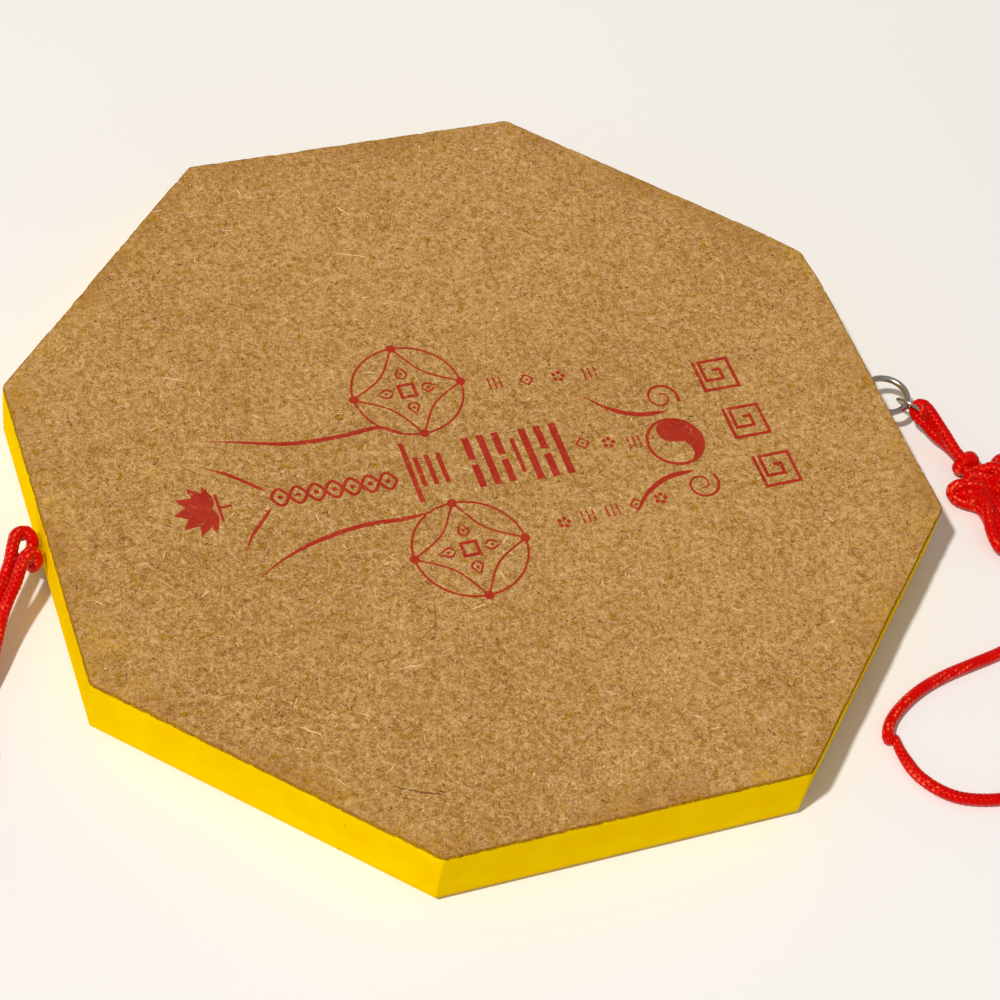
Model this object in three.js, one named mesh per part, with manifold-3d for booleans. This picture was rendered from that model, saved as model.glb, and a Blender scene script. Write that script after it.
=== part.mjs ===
// Bagua mirror, lying face down on a table.
//
// An eight-sided wooden plaque carries a convex mirror and eight engraved
// trigrams on its front. A screw eye in its top edge holds a jump ring and a
// hanging loop of red cord with a woven knot. A smaller screw eye in its bottom
// edge holds a tassel on a second knot.
//
// Millimetres. +X is up when the plaque hangs, +Z points out of its back, and
// z = 0 is the table. The origin lies under the middle of the plaque and its
// metal fittings.

import * as THREE from 'three';
import { mergeVertices } from 'three/addons/utils/BufferGeometryUtils.js';
import Module from 'manifold-3d';

const wasm = await Module();
wasm.setup();

// Clearances
const fitGap = 0.3;
const swingGap = 1;
const cutOver = 1;

// Plaque
const acrossFlats = 200;
const plaqueThickness = 18;
const frontEdgeRadius = 3;

// Mirror, its pocket and its adhesive pad
const mirrorRadius = 42;
const mirrorRise = 4.4;
const glassThickness = 2;
const glassInset = 0.8;
const padWidth = 6;
const padThickness = 1;
const padInset = 1.5;
const pocketWallGap = 1;

// Engraving on the front
const ringGrooveRadius = 50;
const ringGrooveWidth = 3;
const ringGrooveDepth = 1.5;
const borderMargin = 10;
const borderWidth = 2;
const borderDepth = 1.2;
const barLength = 30;
const barWidth = 4;
const barDepth = 1.2;
const barCornerRadius = 0.8;
const brokenBarGap = 5;
const barPitch = 8;
const firstBarRadius = 60;

// Screw eyes: a wire bent to a ring on a pointed shank
const topEyeWire = 1.6;
const topEyeOuter = 12.4;
const topEyeHeight = 8.5;
const bottomEyeWire = 1.2;
const bottomEyeOuter = 6.6;
const bottomEyeHeight = 9.6;
const bottomEyeOffset = 2;
const threadHeight = 0.2;
const shankDepth = 14;
const shankPointLength = 3;
const eyeSlit = 0.4;

// Jump ring between the top eye and the cord
const jumpWire = 0.8;
const jumpOuter = 7.8;
const jumpSlit = 0.35;
const jumpSlitTurn = 109;
const jumpTurn = -43.5;
const jumpDip = 11.5;
const jumpRoll = 34.5;
const jumpPlay = 1.1;

// Cord, its knots and the small round collar on top of each knot
const cordDiameter = 2.8;
const knotCordDiameter = 2.4;
const knotHalfWidth = 9.5;
const knotHalfLength = 9.4;
const knotWaist = 0.15;
const knotEarRounding = 0.2;
const knotWeaveHeight = 1.75;
const knotOpening = 12;
const knotTableGap = 0.05;
const knotLegSpread = 1.45;
const knotLegLength = 3;
const strandSpread = 1.55;
const collarHalfWidth = 3;
const collarHalfLength = 2.6;
const collarHalfHeight = 2.8;
const collarHeight = 3.3;
const collarToKnot = 12.7;

// Tassel
const stemLength = 8;
const headLength = 12;
const headRadius = 4.6;
const headTurns = 4;
const headTurnDepth = 0.35;
const headEndShare = 0.78;
const headBulgeStart = 0.25;
const skirtLength = 80;
const skirtStartRadius = 4.4;
const skirtEndHalfWidth = 12;
const skirtEndHalfHeight = 3.2;
const skirtFlutes = 12;
const skirtFluteDepth = 0.5;
const skirtSwell = 0.8;

// Smoothness
const roundSides = 72;
const glassSides = 48;
const headSides = 24;
const boreSides = 16;
const shankSides = 12;
const collarSides = 16;
const collarRings = 10;
const cordSides = 8;
const wireSides = 8;
const eyeSteps = 30;
const jumpSteps = 28;
const knotSteps = 84;
const bightSteps = 30;
const loopOuterSteps = 14;
const loopInnerSteps = 20;
const tasselCordSteps = 44;
const stemSteps = 4;
const bevelSteps = 4;

// Places that follow from the sizes
const apothem = acrossFlats / 2;
const cordRadius = cordDiameter / 2;
const knotCordRadius = knotCordDiameter / 2;
const knotHeight = knotWeaveHeight + knotCordRadius + knotTableGap;
const collarLift = collarHeight - knotHeight;
const glassRimFront = glassInset + mirrorRise;
const padFront = glassRimFront + glassThickness + fitGap;
const pocketDepth = padFront + padThickness + fitGap;
const pocketRadius = mirrorRadius + pocketWallGap;
const topEyeRadius = (topEyeOuter - topEyeWire) / 2;
const bottomEyeRadius = (bottomEyeOuter - bottomEyeWire) / 2;
const topEyeCentre = new THREE.Vector3(apothem + fitGap + topEyeOuter / 2, 0, topEyeHeight);
const bottomEyeCentre = new THREE.Vector3(
  -apothem - fitGap - bottomEyeOuter / 2, bottomEyeOffset, bottomEyeHeight,
);

// Materials
function finish(color, roughness, metalness = 0) {
  return new THREE.MeshStandardMaterial({ color, roughness, metalness });
}
const woodFinish = finish(0xb98949, 0.8);
const glassFinish = finish(0xd8dde0, 0.05, 1);
const foamFinish = finish(0xe8e6df, 0.9);
const metalFinish = finish(0xb9b9b4, 0.3, 1);
const cordFinish = finish(0xcc0808, 0.5);

// Solids and booleans
function toSolid(geometry) {
  const bare = geometry.index ? geometry.toNonIndexed() : geometry.clone();
  bare.deleteAttribute('normal');
  bare.deleteAttribute('uv');
  const welded = mergeVertices(bare, 1e-4);
  const solid = new wasm.Manifold(new wasm.Mesh({
    numProp: 3,
    vertProperties: Float32Array.from(welded.attributes.position.array),
    triVerts: Uint32Array.from(welded.index.array),
  }));
  return solid;
}

function toGeometry(solid) {
  const mesh = solid.getMesh();
  const geometry = new THREE.BufferGeometry();
  geometry.setAttribute('position', new THREE.BufferAttribute(mesh.vertProperties, 3));
  geometry.setIndex(new THREE.BufferAttribute(mesh.triVerts, 1));
  geometry.computeVertexNormals();
  return geometry;
}

function joined(geometries) {
  return geometries.map(toSolid).reduce((whole, solid) => whole.add(solid));
}

function piece(name, geometry, material) {
  const mesh = new THREE.Mesh(geometry, material);
  mesh.name = name;
  return mesh;
}

// A polygon section of a round wire or cord
function roundSection(radius, sides) {
  const corners = [];
  for (let i = 0; i < sides; i += 1) {
    const turn = (i / sides) * 2 * Math.PI;
    corners.push(new THREE.Vector2(radius * Math.cos(turn), radius * Math.sin(turn)));
  }
  return new THREE.Shape(corners);
}

function tubeAlong(path, radius, steps, sides) {
  return new THREE.ExtrudeGeometry(roundSection(radius, sides), {
    steps, extrudePath: path, bevelEnabled: false,
  });
}

function cordPath(points) {
  const places = points.map(([x, y, z]) => new THREE.Vector3(x, y, z));
  return new THREE.CatmullRomCurve3(places, false, 'centripetal');
}

// A body turned about Z from [radius, height] points
function turned(profile, sides = roundSides) {
  const points = profile.map(([radius, height]) => new THREE.Vector2(radius, height));
  return new THREE.LatheGeometry(points, sides).rotateX(Math.PI / 2);
}

// An octagon with flats across X and Y
function octagon(flatDistance) {
  const cornerDistance = flatDistance / Math.cos(Math.PI / 8);
  const corners = [];
  for (let i = 0; i < 8; i += 1) {
    const turn = Math.PI / 8 + (i * Math.PI) / 4;
    const corner = new THREE.Vector2(cornerDistance, 0);
    corners.push(corner.rotateAround(new THREE.Vector2(), turn));
  }
  return new THREE.Shape(corners);
}

function slab(shape, thickness) {
  return new THREE.ExtrudeGeometry(shape, {
    depth: thickness, bevelEnabled: false, curveSegments: 1,
  });
}

// Plaque: back edge square, front edge rounded over
function plaqueBlank() {
  const blank = new THREE.ExtrudeGeometry(octagon(apothem), {
    depth: plaqueThickness,
    bevelEnabled: true,
    bevelThickness: frontEdgeRadius,
    bevelSize: frontEdgeRadius,
    bevelOffset: -frontEdgeRadius,
    bevelSegments: bevelSteps,
  });
  blank.translate(0, 0, frontEdgeRadius);
  const board = new THREE.BoxGeometry(3 * apothem, 3 * apothem, plaqueThickness);
  board.translate(0, 0, plaqueThickness / 2);
  return toSolid(blank).intersect(toSolid(board));
}

function mirrorPocket() {
  const depth = pocketDepth + cutOver;
  const pocket = new THREE.CylinderGeometry(pocketRadius, pocketRadius, depth, roundSides);
  return pocket.rotateX(Math.PI / 2).translate(0, 0, pocketDepth - depth / 2);
}

// A round-bottomed groove that frames the mirror
function ringGroove() {
  const profile = [];
  const arcSteps = 4;
  for (let i = 0; i <= arcSteps; i += 1) {
    const turn = (i / arcSteps) * Math.PI;
    const radius = ringGrooveRadius + (ringGrooveWidth / 2) * Math.cos(turn);
    profile.push([radius, ringGrooveDepth * Math.sin(turn)]);
  }
  profile.push([ringGrooveRadius - ringGrooveWidth / 2, -cutOver]);
  profile.push([ringGrooveRadius + ringGrooveWidth / 2, -cutOver]);
  profile.push(profile[0]);
  return turned(profile.reverse());
}

function borderGroove() {
  const outer = octagon(apothem - borderMargin);
  outer.holes.push(octagon(apothem - borderMargin - borderWidth));
  return slab(outer, borderDepth + cutOver).translate(0, 0, -cutOver);
}

function bar(length) {
  const halfLength = length / 2;
  const halfWidth = barWidth / 2;
  const r = barCornerRadius;
  const shape = new THREE.Shape();
  shape.moveTo(-halfWidth + r, -halfLength);
  shape.lineTo(halfWidth - r, -halfLength);
  shape.quadraticCurveTo(halfWidth, -halfLength, halfWidth, -halfLength + r);
  shape.lineTo(halfWidth, halfLength - r);
  shape.quadraticCurveTo(halfWidth, halfLength, halfWidth - r, halfLength);
  shape.lineTo(-halfWidth + r, halfLength);
  shape.quadraticCurveTo(-halfWidth, halfLength, -halfWidth, halfLength - r);
  shape.lineTo(-halfWidth, -halfLength + r);
  shape.quadraticCurveTo(-halfWidth, -halfLength, -halfWidth + r, -halfLength);
  return slab(shape, barDepth + cutOver).translate(0, 0, -cutOver);
}

// The eight trigrams in their Early Heaven order, each from its inner line to
// its outer one. 1 is a whole line and 0 a broken one. The list starts at the
// top of the plaque and goes clockwise for someone who looks at its front.
const trigrams = ['111', '011', '010', '001', '000', '100', '101', '110'];

function trigramCuts() {
  const cuts = [];
  trigrams.forEach((lines, place) => {
    const turn = (place * Math.PI) / 4;
    [...lines].forEach((line, row) => {
      const radius = firstBarRadius + row * barPitch;
      if (line === '1') {
        cuts.push(bar(barLength).translate(radius, 0, 0).rotateZ(turn));
        return;
      }
      const halfBar = (barLength - brokenBarGap) / 2;
      const side = (barLength - halfBar) / 2;
      cuts.push(bar(halfBar).translate(radius, side, 0).rotateZ(turn));
      cuts.push(bar(halfBar).translate(radius, -side, 0).rotateZ(turn));
    });
  });
  return cuts;
}

// A blind bore in an edge of the plaque for the shank of a screw eye
function shankBore(centre, wire) {
  const side = Math.sign(centre.x);
  const radius = wire / 2 + threadHeight + fitGap;
  const length = shankDepth + fitGap + cutOver;
  const bore = new THREE.CylinderGeometry(radius, radius, length, boreSides);
  bore.rotateZ(Math.PI / 2);
  return bore.translate(side * (apothem + cutOver - length / 2), centre.y, centre.z);
}

function plaque() {
  const cuts = [
    mirrorPocket(), ringGroove(), borderGroove(), ...trigramCuts(),
    shankBore(topEyeCentre, topEyeWire), shankBore(bottomEyeCentre, bottomEyeWire),
  ];
  const solid = plaqueBlank().subtract(joined(cuts));
  return piece('plaque', toGeometry(solid), woodFinish);
}

// Mirror: a slumped glass cap, its bulge towards the front
function capHeight(radius) {
  const sphere = (mirrorRadius ** 2 + mirrorRise ** 2) / (2 * mirrorRise);
  return sphere - Math.sqrt(sphere ** 2 - radius ** 2);
}

function mirrorGlass() {
  const arcSteps = 6;
  const front = [];
  const back = [];
  for (let i = 0; i <= arcSteps; i += 1) {
    const radius = (mirrorRadius * i) / arcSteps;
    const height = glassInset + capHeight(radius);
    front.push([radius, height]);
    back.unshift([radius, height + glassThickness]);
  }
  return piece('mirror_glass', turned([...front, ...back], glassSides), glassFinish);
}

function mirrorPad() {
  const outer = mirrorRadius - padInset;
  const inner = outer - padWidth;
  const profile = [
    [inner, padFront], [outer, padFront],
    [outer, padFront + padThickness], [inner, padFront + padThickness], [inner, padFront],
  ];
  return piece('mirror_pad', turned(profile, glassSides), foamFinish);
}

// Wire ring round Z with a narrow slit that starts at slitTurn
function wireRing(radius, wire, slit, slitTurn, steps) {
  const slitAngle = slit / radius;
  const path = new THREE.Curve();
  path.getPoint = (t, target = new THREE.Vector3()) => {
    const turn = slitTurn + slitAngle + t * (2 * Math.PI - slitAngle);
    return target.set(radius * Math.cos(turn), radius * Math.sin(turn), 0);
  };
  return tubeAlong(path, wire / 2, steps, wireSides);
}

// A screw eye, its ring round Z and its shank along -X
function screwEye(name, wire, outer) {
  const ringRadius = (outer - wire) / 2;
  const neck = outer / 2 + fitGap;
  const shankRadius = wire / 2 + threadHeight;
  const slitTurn = Math.PI - (eyeSlit + shankRadius) / ringRadius;
  const ring = wireRing(ringRadius, wire, eyeSlit, slitTurn, eyeSteps);
  const shank = turned([
    [0, -neck - shankDepth],
    [shankRadius, -neck - shankDepth + shankPointLength],
    [shankRadius, -neck],
    [wire / 2, -ringRadius],
    [0, -ringRadius],
  ], shankSides);
  shank.rotateY(Math.PI / 2);
  return piece(name, toGeometry(joined([ring, shank])), metalFinish);
}

function topEye() {
  const eye = screwEye('top_screw_eye', topEyeWire, topEyeOuter);
  eye.position.copy(topEyeCentre);
  return eye;
}

function bottomEye() {
  const eye = screwEye('bottom_screw_eye', bottomEyeWire, bottomEyeOuter);
  eye.rotation.z = Math.PI;
  eye.position.copy(bottomEyeCentre);
  return eye;
}

// The jump ring hangs in the top eye and leans with the cord
function jumpRing() {
  const turn = THREE.MathUtils.degToRad(jumpTurn);
  const dip = THREE.MathUtils.degToRad(jumpDip);
  const roll = THREE.MathUtils.degToRad(jumpRoll);
  const level = new THREE.Vector3(Math.cos(turn), Math.sin(turn), 0);
  const across = new THREE.Vector3(-Math.sin(turn), Math.cos(turn), 0);
  const up = new THREE.Vector3(0, 0, 1);
  const along = level.clone().multiplyScalar(Math.cos(dip)).addScaledVector(up, -Math.sin(dip));
  const raised = new THREE.Vector3().crossVectors(along, across);
  const normal = across.clone().multiplyScalar(Math.cos(roll));
  normal.addScaledVector(raised, Math.sin(roll));
  const side = new THREE.Vector3().crossVectors(normal, along);
  const radius = (jumpOuter - jumpWire) / 2;
  const slitTurn = THREE.MathUtils.degToRad(jumpSlitTurn);
  const wire = wireRing(radius, jumpWire, jumpSlit, slitTurn, jumpSteps);
  const ring = piece('jump_ring', wire, metalFinish);
  ring.quaternion.setFromRotationMatrix(new THREE.Matrix4().makeBasis(along, side, normal));
  ring.position.copy(topEyeCentre).addScaledVector(level, topEyeRadius);
  ring.position.addScaledVector(along, jumpPlay);
  return ring;
}

// Woven knot. The cord runs three times along the knot while it runs twice
// across, and meets itself seven times. These are the turns, in degrees, at
// which it passes over and under itself by turns.
const meetings = [15, 30, 75, 90, 105, 150, 165, 195, 210, 255, 270, 285, 330, 345];

function weaveHeight(degrees) {
  const next = meetings.findIndex((turn) => turn > degrees);
  const after = next < 0 ? meetings.length : next;
  const before = after - 1;
  const start = before < 0 ? meetings[meetings.length - 1] - 360 : meetings[before];
  const end = after === meetings.length ? meetings[0] + 360 : meetings[after];
  const share = (degrees - start) / (end - start);
  const sign = (before + meetings.length) % 2 === 0 ? 1 : -1;
  return knotWeaveHeight * sign * Math.cos(Math.PI * share);
}

// The weave's centreline, with +X across the knot, -Y away from its collar. The
// waist draws its sides in, and the ear rounding widens its turns.
function knotCurve() {
  const points = [];
  const degreeStep = 3;
  const collarMiddle = new THREE.Vector3(0, collarToKnot, collarLift);
  const legFoot = new THREE.Vector3(0, collarToKnot - knotLegLength, collarLift);
  const leg = new THREE.Vector3(knotLegSpread, 0, 0);
  points.push(collarMiddle.clone().add(leg), legFoot.clone().add(leg));
  for (let degrees = knotOpening; degrees <= 360 - knotOpening; degrees += degreeStep) {
    const turn = THREE.MathUtils.degToRad(degrees);
    const swing = Math.cos(3 * turn);
    const rise = swing * (1 + knotEarRounding * (1 - swing ** 2));
    const draw = 1 - knotWaist * (1 - rise ** 2) ** 2;
    points.push(new THREE.Vector3(
      knotHalfWidth * draw * Math.sin(2 * turn),
      knotHalfLength * rise,
      weaveHeight(degrees),
    ));
  }
  points.push(legFoot.clone().sub(leg), collarMiddle.clone().sub(leg));
  return new THREE.CatmullRomCurve3(points, false, 'centripetal');
}

// Maps a ball of radius 1 to the collar, grown by a clearance
function collarFrame(grow) {
  const place = new THREE.Vector3(0, collarToKnot, collarLift);
  const halves = new THREE.Vector3(collarHalfWidth, collarHalfLength, collarHalfHeight);
  halves.addScalar(grow);
  return new THREE.Matrix4().compose(place, new THREE.Quaternion(), halves);
}

function collar() {
  return new THREE.SphereGeometry(1, collarSides, collarRings).applyMatrix4(collarFrame(0));
}

// The least gap of a cord to itself, apart from what lies near along it
function leastGap(curve, diameter) {
  const samples = 400;
  const places = curve.getSpacedPoints(samples);
  const skipped = Math.ceil((3 * diameter * samples) / curve.getLength());
  let least = Infinity;
  for (let i = 0; i < places.length; i += 1) {
    for (let j = i + skipped; j < places.length; j += 1) {
      least = Math.min(least, places[i].distanceTo(places[j]) - diameter);
    }
  }
  return least;
}

const weave = knotCurve();
console.log('least gap of the knot cord to itself', leastGap(weave, knotCordDiameter).toFixed(2), 'mm');

// A knot whose collar is over a place and which points along a direction
function knot(name, place, heading) {
  const cord = tubeAlong(weave, knotCordRadius, knotSteps, cordSides);
  const mesh = piece(name, toGeometry(joined([cord, collar()])), cordFinish);
  mesh.position.set(Math.cos(heading), Math.sin(heading), 0).multiplyScalar(collarToKnot).add(place);
  mesh.position.z = knotHeight;
  mesh.rotation.z = heading + Math.PI / 2;
  return mesh;
}

// The point at which a strand that comes from a place meets a knot's collar,
// aimed beside the collar's middle
function collarMeeting(knotMesh, from, aside, gap) {
  knotMesh.updateMatrix();
  const frame = knotMesh.matrix.clone().multiply(collarFrame(gap));
  const middle = new THREE.Vector3().applyMatrix4(frame);
  const inward = frame.clone().invert();
  const start = new THREE.Vector3(...from).applyMatrix4(inward);
  const aim = middle.add(aside).applyMatrix4(inward);
  const ray = new THREE.Ray(start, aim.sub(start).normalize());
  const meeting = ray.intersectSphere(new THREE.Sphere(new THREE.Vector3(), 1), new THREE.Vector3());
  return meeting.applyMatrix4(frame).toArray();
}

// A route whose two ends run on to a knot's collar, side by side
function withCollarEnds(knotMesh, route, aside, gap) {
  const first = collarMeeting(knotMesh, route[0], aside, gap);
  const last = collarMeeting(knotMesh, route[route.length - 1], aside.clone().negate(), gap);
  return [first, ...route, last];
}

function cordPiece(name, route, steps) {
  return piece(name, tubeAlong(cordPath(route), cordRadius, steps, cordSides), cordFinish);
}

// Hanging cord
const hangerCollar = new THREE.Vector3(120.3, -21.0, 0);
const hangerHeading = THREE.MathUtils.degToRad(-69);
const hangerKnot = knot('hanger_knot', hangerCollar, hangerHeading);

// The doubled cord that goes through the jump ring, one strand over the other
const bightAside = new THREE.Vector3(0, 0, strandSpread);
const bightRoute = [
  [118.9, -18.4, 5.6], [117.1, -16.0, 6.5], [116.2, -13.2, 7.8], [115.6, -10.2, 8.5],
  [115.3, -7.1, 9.0], [114.6, -5.7, 9.0], [113.3, -5.2, 8.7], [112.0, -5.8, 8.1],
  [111.5, -7.1, 7.5], [112.1, -8.5, 7.1], [114.1, -10.7, 5.9], [116.2, -12.7, 4.8],
  [118.2, -14.9, 3.8], [119.6, -17.2, 2.2],
];

// One strand of the loop ends at the side of the other
const loopOuterRoute = [
  [127.3, -43.9, 2.6], [127.6, -46.4, 2.3], [127.5, -51.4, 1.7], [126.4, -57.8, 1.45],
  [122.2, -64.3, 1.45], [115.0, -69.3, 1.45], [105.8, -72.3, 1.45], [97.3, -73.8, 1.45],
  [89.8, -75.1, 1.45], [83.0, -77.0, 1.45], [76.6, -80.0, 1.45], [71.6, -83.7, 1.45],
  [69.6, -86.8, 1.45], [69.3, -88.6, 1.45],
];
const loopInnerRoute = [
  [72.3, -88.8, 1.45], [71.7, -91.8, 1.45], [72.1, -97.5, 1.45], [74.6, -102.2, 1.45],
  [78.1, -105.3, 1.45], [83.2, -107.4, 1.45], [89.9, -108.7, 1.45], [98.0, -109.7, 1.45],
  [107.5, -109.3, 1.45], [117.0, -106.3, 1.45], [125.0, -100.2, 1.45], [131.0, -91.0, 1.45],
  [134.4, -80.0, 1.45], [134.8, -68.0, 1.45], [133.2, -57.0, 1.45], [131.6, -49.8, 1.9],
  [130.9, -45.6, 2.4], [130.3, -42.8, 2.6],
];

// Tassel cord: once through the bottom eye, both strands run to the tassel
const tasselDirection = new THREE.Vector3(-0.5708, -0.8211, 0);
const tasselHeading = Math.atan2(tasselDirection.y, tasselDirection.x);
const tasselCollar = new THREE.Vector3(-126.8, -36.0, 0);
const tasselKnot = knot('tassel_knot', tasselCollar, tasselHeading);
const tasselAside = new THREE.Vector3(tasselDirection.y, -tasselDirection.x, 0);
tasselAside.multiplyScalar(strandSpread);
const tasselRoute = [
  [-125.3, -30.7, 3.9], [-122.4, -26.4, 4.5], [-119.5, -22.1, 5.5], [-116.6, -16.7, 6.9],
  [-113.3, -11.0, 8.7], [-110.3, -5.5, 9.9],
  [-108.2, -1.8, 10.8], [-106.5, 2.0, 12.0], [-105.5, 3.8, 12.6], [-103.5, 4.0, 12.5],
  [-102.6, 2.6, 11.4], [-103.4, 1.6, 9.8], [-103.5, 0.8, 7.9], [-103.3, -1.2, 7.4],
  [-103.0, -2.7, 8.8], [-102.0, -2.5, 10.7], [-102.5, -2.0, 12.6], [-104.1, -2.8, 13.4],
  [-105.3, -4.4, 12.7], [-107.4, -8.0, 11.5], [-109.9, -11.4, 10.3], [-112.3, -14.9, 9.0],
  [-114.2, -18.5, 7.4], [-116.8, -23.3, 5.8], [-119.7, -27.7, 4.6], [-122.5, -32.1, 3.9],
];

// Tassel body, laid along its direction from the foot of its knot
const knotFoot = collarToKnot + knotHalfLength + knotCordRadius + fitGap;
const headStart = knotFoot + stemLength + fitGap;
const skirtStart = headStart + headLength + fitGap;

function alongTassel(distance, aside, height) {
  const place = tasselCollar.clone().addScaledVector(tasselDirection, distance);
  place.x -= aside * tasselDirection.y;
  place.y += aside * tasselDirection.x;
  place.z = height;
  return place.toArray();
}

function tasselStem(name, aside) {
  const route = [0, 0.5, 1].map((share) => {
    const height = THREE.MathUtils.lerp(knotHeight, headRadius, share);
    return alongTassel(knotFoot + share * stemLength, aside, height);
  });
  return cordPiece(name, route, stemSteps);
}

// Bound head: turns of thread round the doubled skein
function tasselHead() {
  const profile = [[0, 0]];
  const steps = 3 * headTurns;
  for (let i = 0; i <= steps; i += 1) {
    const share = i / steps;
    const swell = Math.sin(Math.PI * Math.min(1, headBulgeStart + share));
    const bulge = THREE.MathUtils.lerp(headEndShare, 1, swell);
    const ridge = headTurnDepth * Math.cos(2 * Math.PI * headTurns * share);
    profile.push([headRadius * bulge - headTurnDepth + ridge, share * headLength]);
  }
  profile.push([0, headLength]);
  const head = piece('tassel_head', turned(profile, headSides).rotateY(Math.PI / 2), cordFinish);
  head.position.fromArray(alongTassel(headStart, 0, headRadius));
  head.rotation.z = tasselHeading;
  return head;
}

// Skirt: fluted, and flattened where it lies on the table
function tasselSkirt() {
  const rings = 8;
  const skirt = new THREE.CylinderGeometry(1, 1, 1, 4 * skirtFlutes, rings);
  const place = skirt.attributes.position;
  for (let i = 0; i < place.count; i += 1) {
    const share = 0.5 - place.getY(i);
    const swell = Math.sin((Math.PI / 2) * share) ** skirtSwell;
    const halfWidth = THREE.MathUtils.lerp(skirtStartRadius, skirtEndHalfWidth, swell);
    const halfHeight = THREE.MathUtils.lerp(skirtStartRadius, skirtEndHalfHeight, swell);
    const turn = Math.atan2(place.getZ(i), place.getX(i));
    const reach = Math.hypot(place.getX(i), place.getZ(i));
    const flute = 1 - (skirtFluteDepth / halfHeight) * (0.5 - 0.5 * Math.cos(skirtFlutes * turn));
    place.setXYZ(
      i,
      share * skirtLength,
      halfWidth * reach * flute * Math.cos(turn),
      halfHeight * (1 + reach * flute * Math.sin(turn)),
    );
  }
  const mesh = piece('tassel_skirt', toGeometry(toSolid(skirt)), cordFinish);
  mesh.position.fromArray(alongTassel(skirtStart, 0, 0));
  mesh.rotation.z = tasselHeading;
  return mesh;
}

// Assembly
const bightCord = withCollarEnds(hangerKnot, bightRoute, bightAside, swingGap);
const tasselCord = withCollarEnds(tasselKnot, tasselRoute, tasselAside, swingGap);

const rigid = new THREE.Group();
rigid.add(plaque(), mirrorGlass(), mirrorPad(), topEye(), bottomEye(), jumpRing());

const soft = new THREE.Group();
soft.add(
  hangerKnot,
  cordPiece('hanger_bight', bightCord, bightSteps),
  cordPiece('hanger_loop_outer', loopOuterRoute, loopOuterSteps),
  cordPiece('hanger_loop_inner', loopInnerRoute, loopInnerSteps),
  tasselKnot,
  cordPiece('tassel_cord', tasselCord, tasselCordSteps),
  tasselStem('tassel_stem_left', strandSpread),
  tasselStem('tassel_stem_right', -strandSpread),
  tasselHead(),
  tasselSkirt(),
);

const bagua = new THREE.Group();
bagua.add(rigid, soft);
bagua.updateMatrixWorld(true);
const reach = new THREE.Box3().expandByObject(rigid, true);
bagua.position.x = -(reach.min.x + reach.max.x) / 2;
bagua.position.y = -(reach.min.y + reach.max.y) / 2;

export default bagua;
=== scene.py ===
"""Looks of the bagua mirror. It lies face down on a pale table and is seen from its back."""
import math
import random

import bpy
import numpy as np
from mathutils import Matrix, Vector


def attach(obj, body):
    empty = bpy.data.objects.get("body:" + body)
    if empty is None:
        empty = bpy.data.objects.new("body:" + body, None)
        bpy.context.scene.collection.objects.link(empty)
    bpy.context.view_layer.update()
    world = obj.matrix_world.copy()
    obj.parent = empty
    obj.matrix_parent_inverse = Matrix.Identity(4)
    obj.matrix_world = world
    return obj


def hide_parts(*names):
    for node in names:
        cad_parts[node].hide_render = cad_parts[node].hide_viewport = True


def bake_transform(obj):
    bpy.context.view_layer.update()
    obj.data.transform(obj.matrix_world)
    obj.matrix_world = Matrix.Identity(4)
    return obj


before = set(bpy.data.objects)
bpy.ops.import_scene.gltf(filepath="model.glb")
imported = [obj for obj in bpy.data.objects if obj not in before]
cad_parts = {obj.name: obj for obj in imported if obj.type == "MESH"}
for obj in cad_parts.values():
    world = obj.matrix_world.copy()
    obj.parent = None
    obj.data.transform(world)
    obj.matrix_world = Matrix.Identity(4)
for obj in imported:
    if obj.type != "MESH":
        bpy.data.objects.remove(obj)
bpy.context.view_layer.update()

# Millimetres to metres, and the x of the octagon's middle in the row frame
MM = 0.001
BOARD_X = -3.68111

# Sizes that the CAD source has too, in millimetres and degrees
APOTHEM = 100.0
THICKNESS = 18.0
FIT_GAP = 0.3
CORD = 2.8
KNOT_HALF_WIDTH = 9.5
KNOT_HALF_LENGTH = 9.4
KNOT_WAIST = 0.15
KNOT_EAR_ROUNDING = 0.2
KNOT_OPENING = 12
KNOT_HEIGHT = 3.0
LEG_SPREAD = 1.45
LEG_LENGTH = 3.0
STRAND_SPREAD = 1.55
COLLAR_HEIGHT = 3.3
COLLAR_TO_KNOT = 12.7
# The knots' cord is fuller and its weave is flatter than in CAD, where strands stay apart
KNOT_CORD = 2.84
KNOT_WEAVE = 1.4

# Mesh of a cord, and the relief of its braid: height, middle level, yarns and pitch
CORD_SIDES = 36
CORD_STEP = 0.23
BRAID_RELIEF = 0.11
BRAID_LEVEL = 0.6
BRAID_COLUMNS = 4
BRAID_PITCH = 1.2
# How the braid turns round its cord: radians a millimetre, and a slow sway
BRAID_TURN = 0.06
BRAID_SWAY = 0.5
SWAY_RATE = 0.21
SWAY_START = 1.3
# Scale of the rings that round a cord's end, and how far that end stands out
END_RINGS = np.array([0.97, 0.80, 0.50, 0.18])
END_REACH = 0.85

# Degrees of the knot's curve at which it passes over and under itself by turns
MEETINGS = (15, 30, 75, 90, 105, 150, 165, 195, 210, 255, 270, 285, 330, 345)
# Four of the octagon's flats face these ways, and the other four face away from them
QUARTERS = [quarter * math.pi / 4 for quarter in range(4)]


def rows(points):
    """Points given from the octagon's middle in millimetres, in the row frame in metres."""
    out = np.array(points, float).reshape(-1, 3)
    out[:, 0] += BOARD_X
    return out * MM


def between(a, b, share):
    return a + (b - a) * share


def on_circle(centre, radius, turn):
    return centre[0] + radius * math.cos(turn), centre[1] + radius * math.sin(turn)


def placed(name, data):
    """A new object in the scene."""
    item = bpy.data.objects.new(name, data)
    bpy.context.scene.collection.objects.link(item)
    return item


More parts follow.
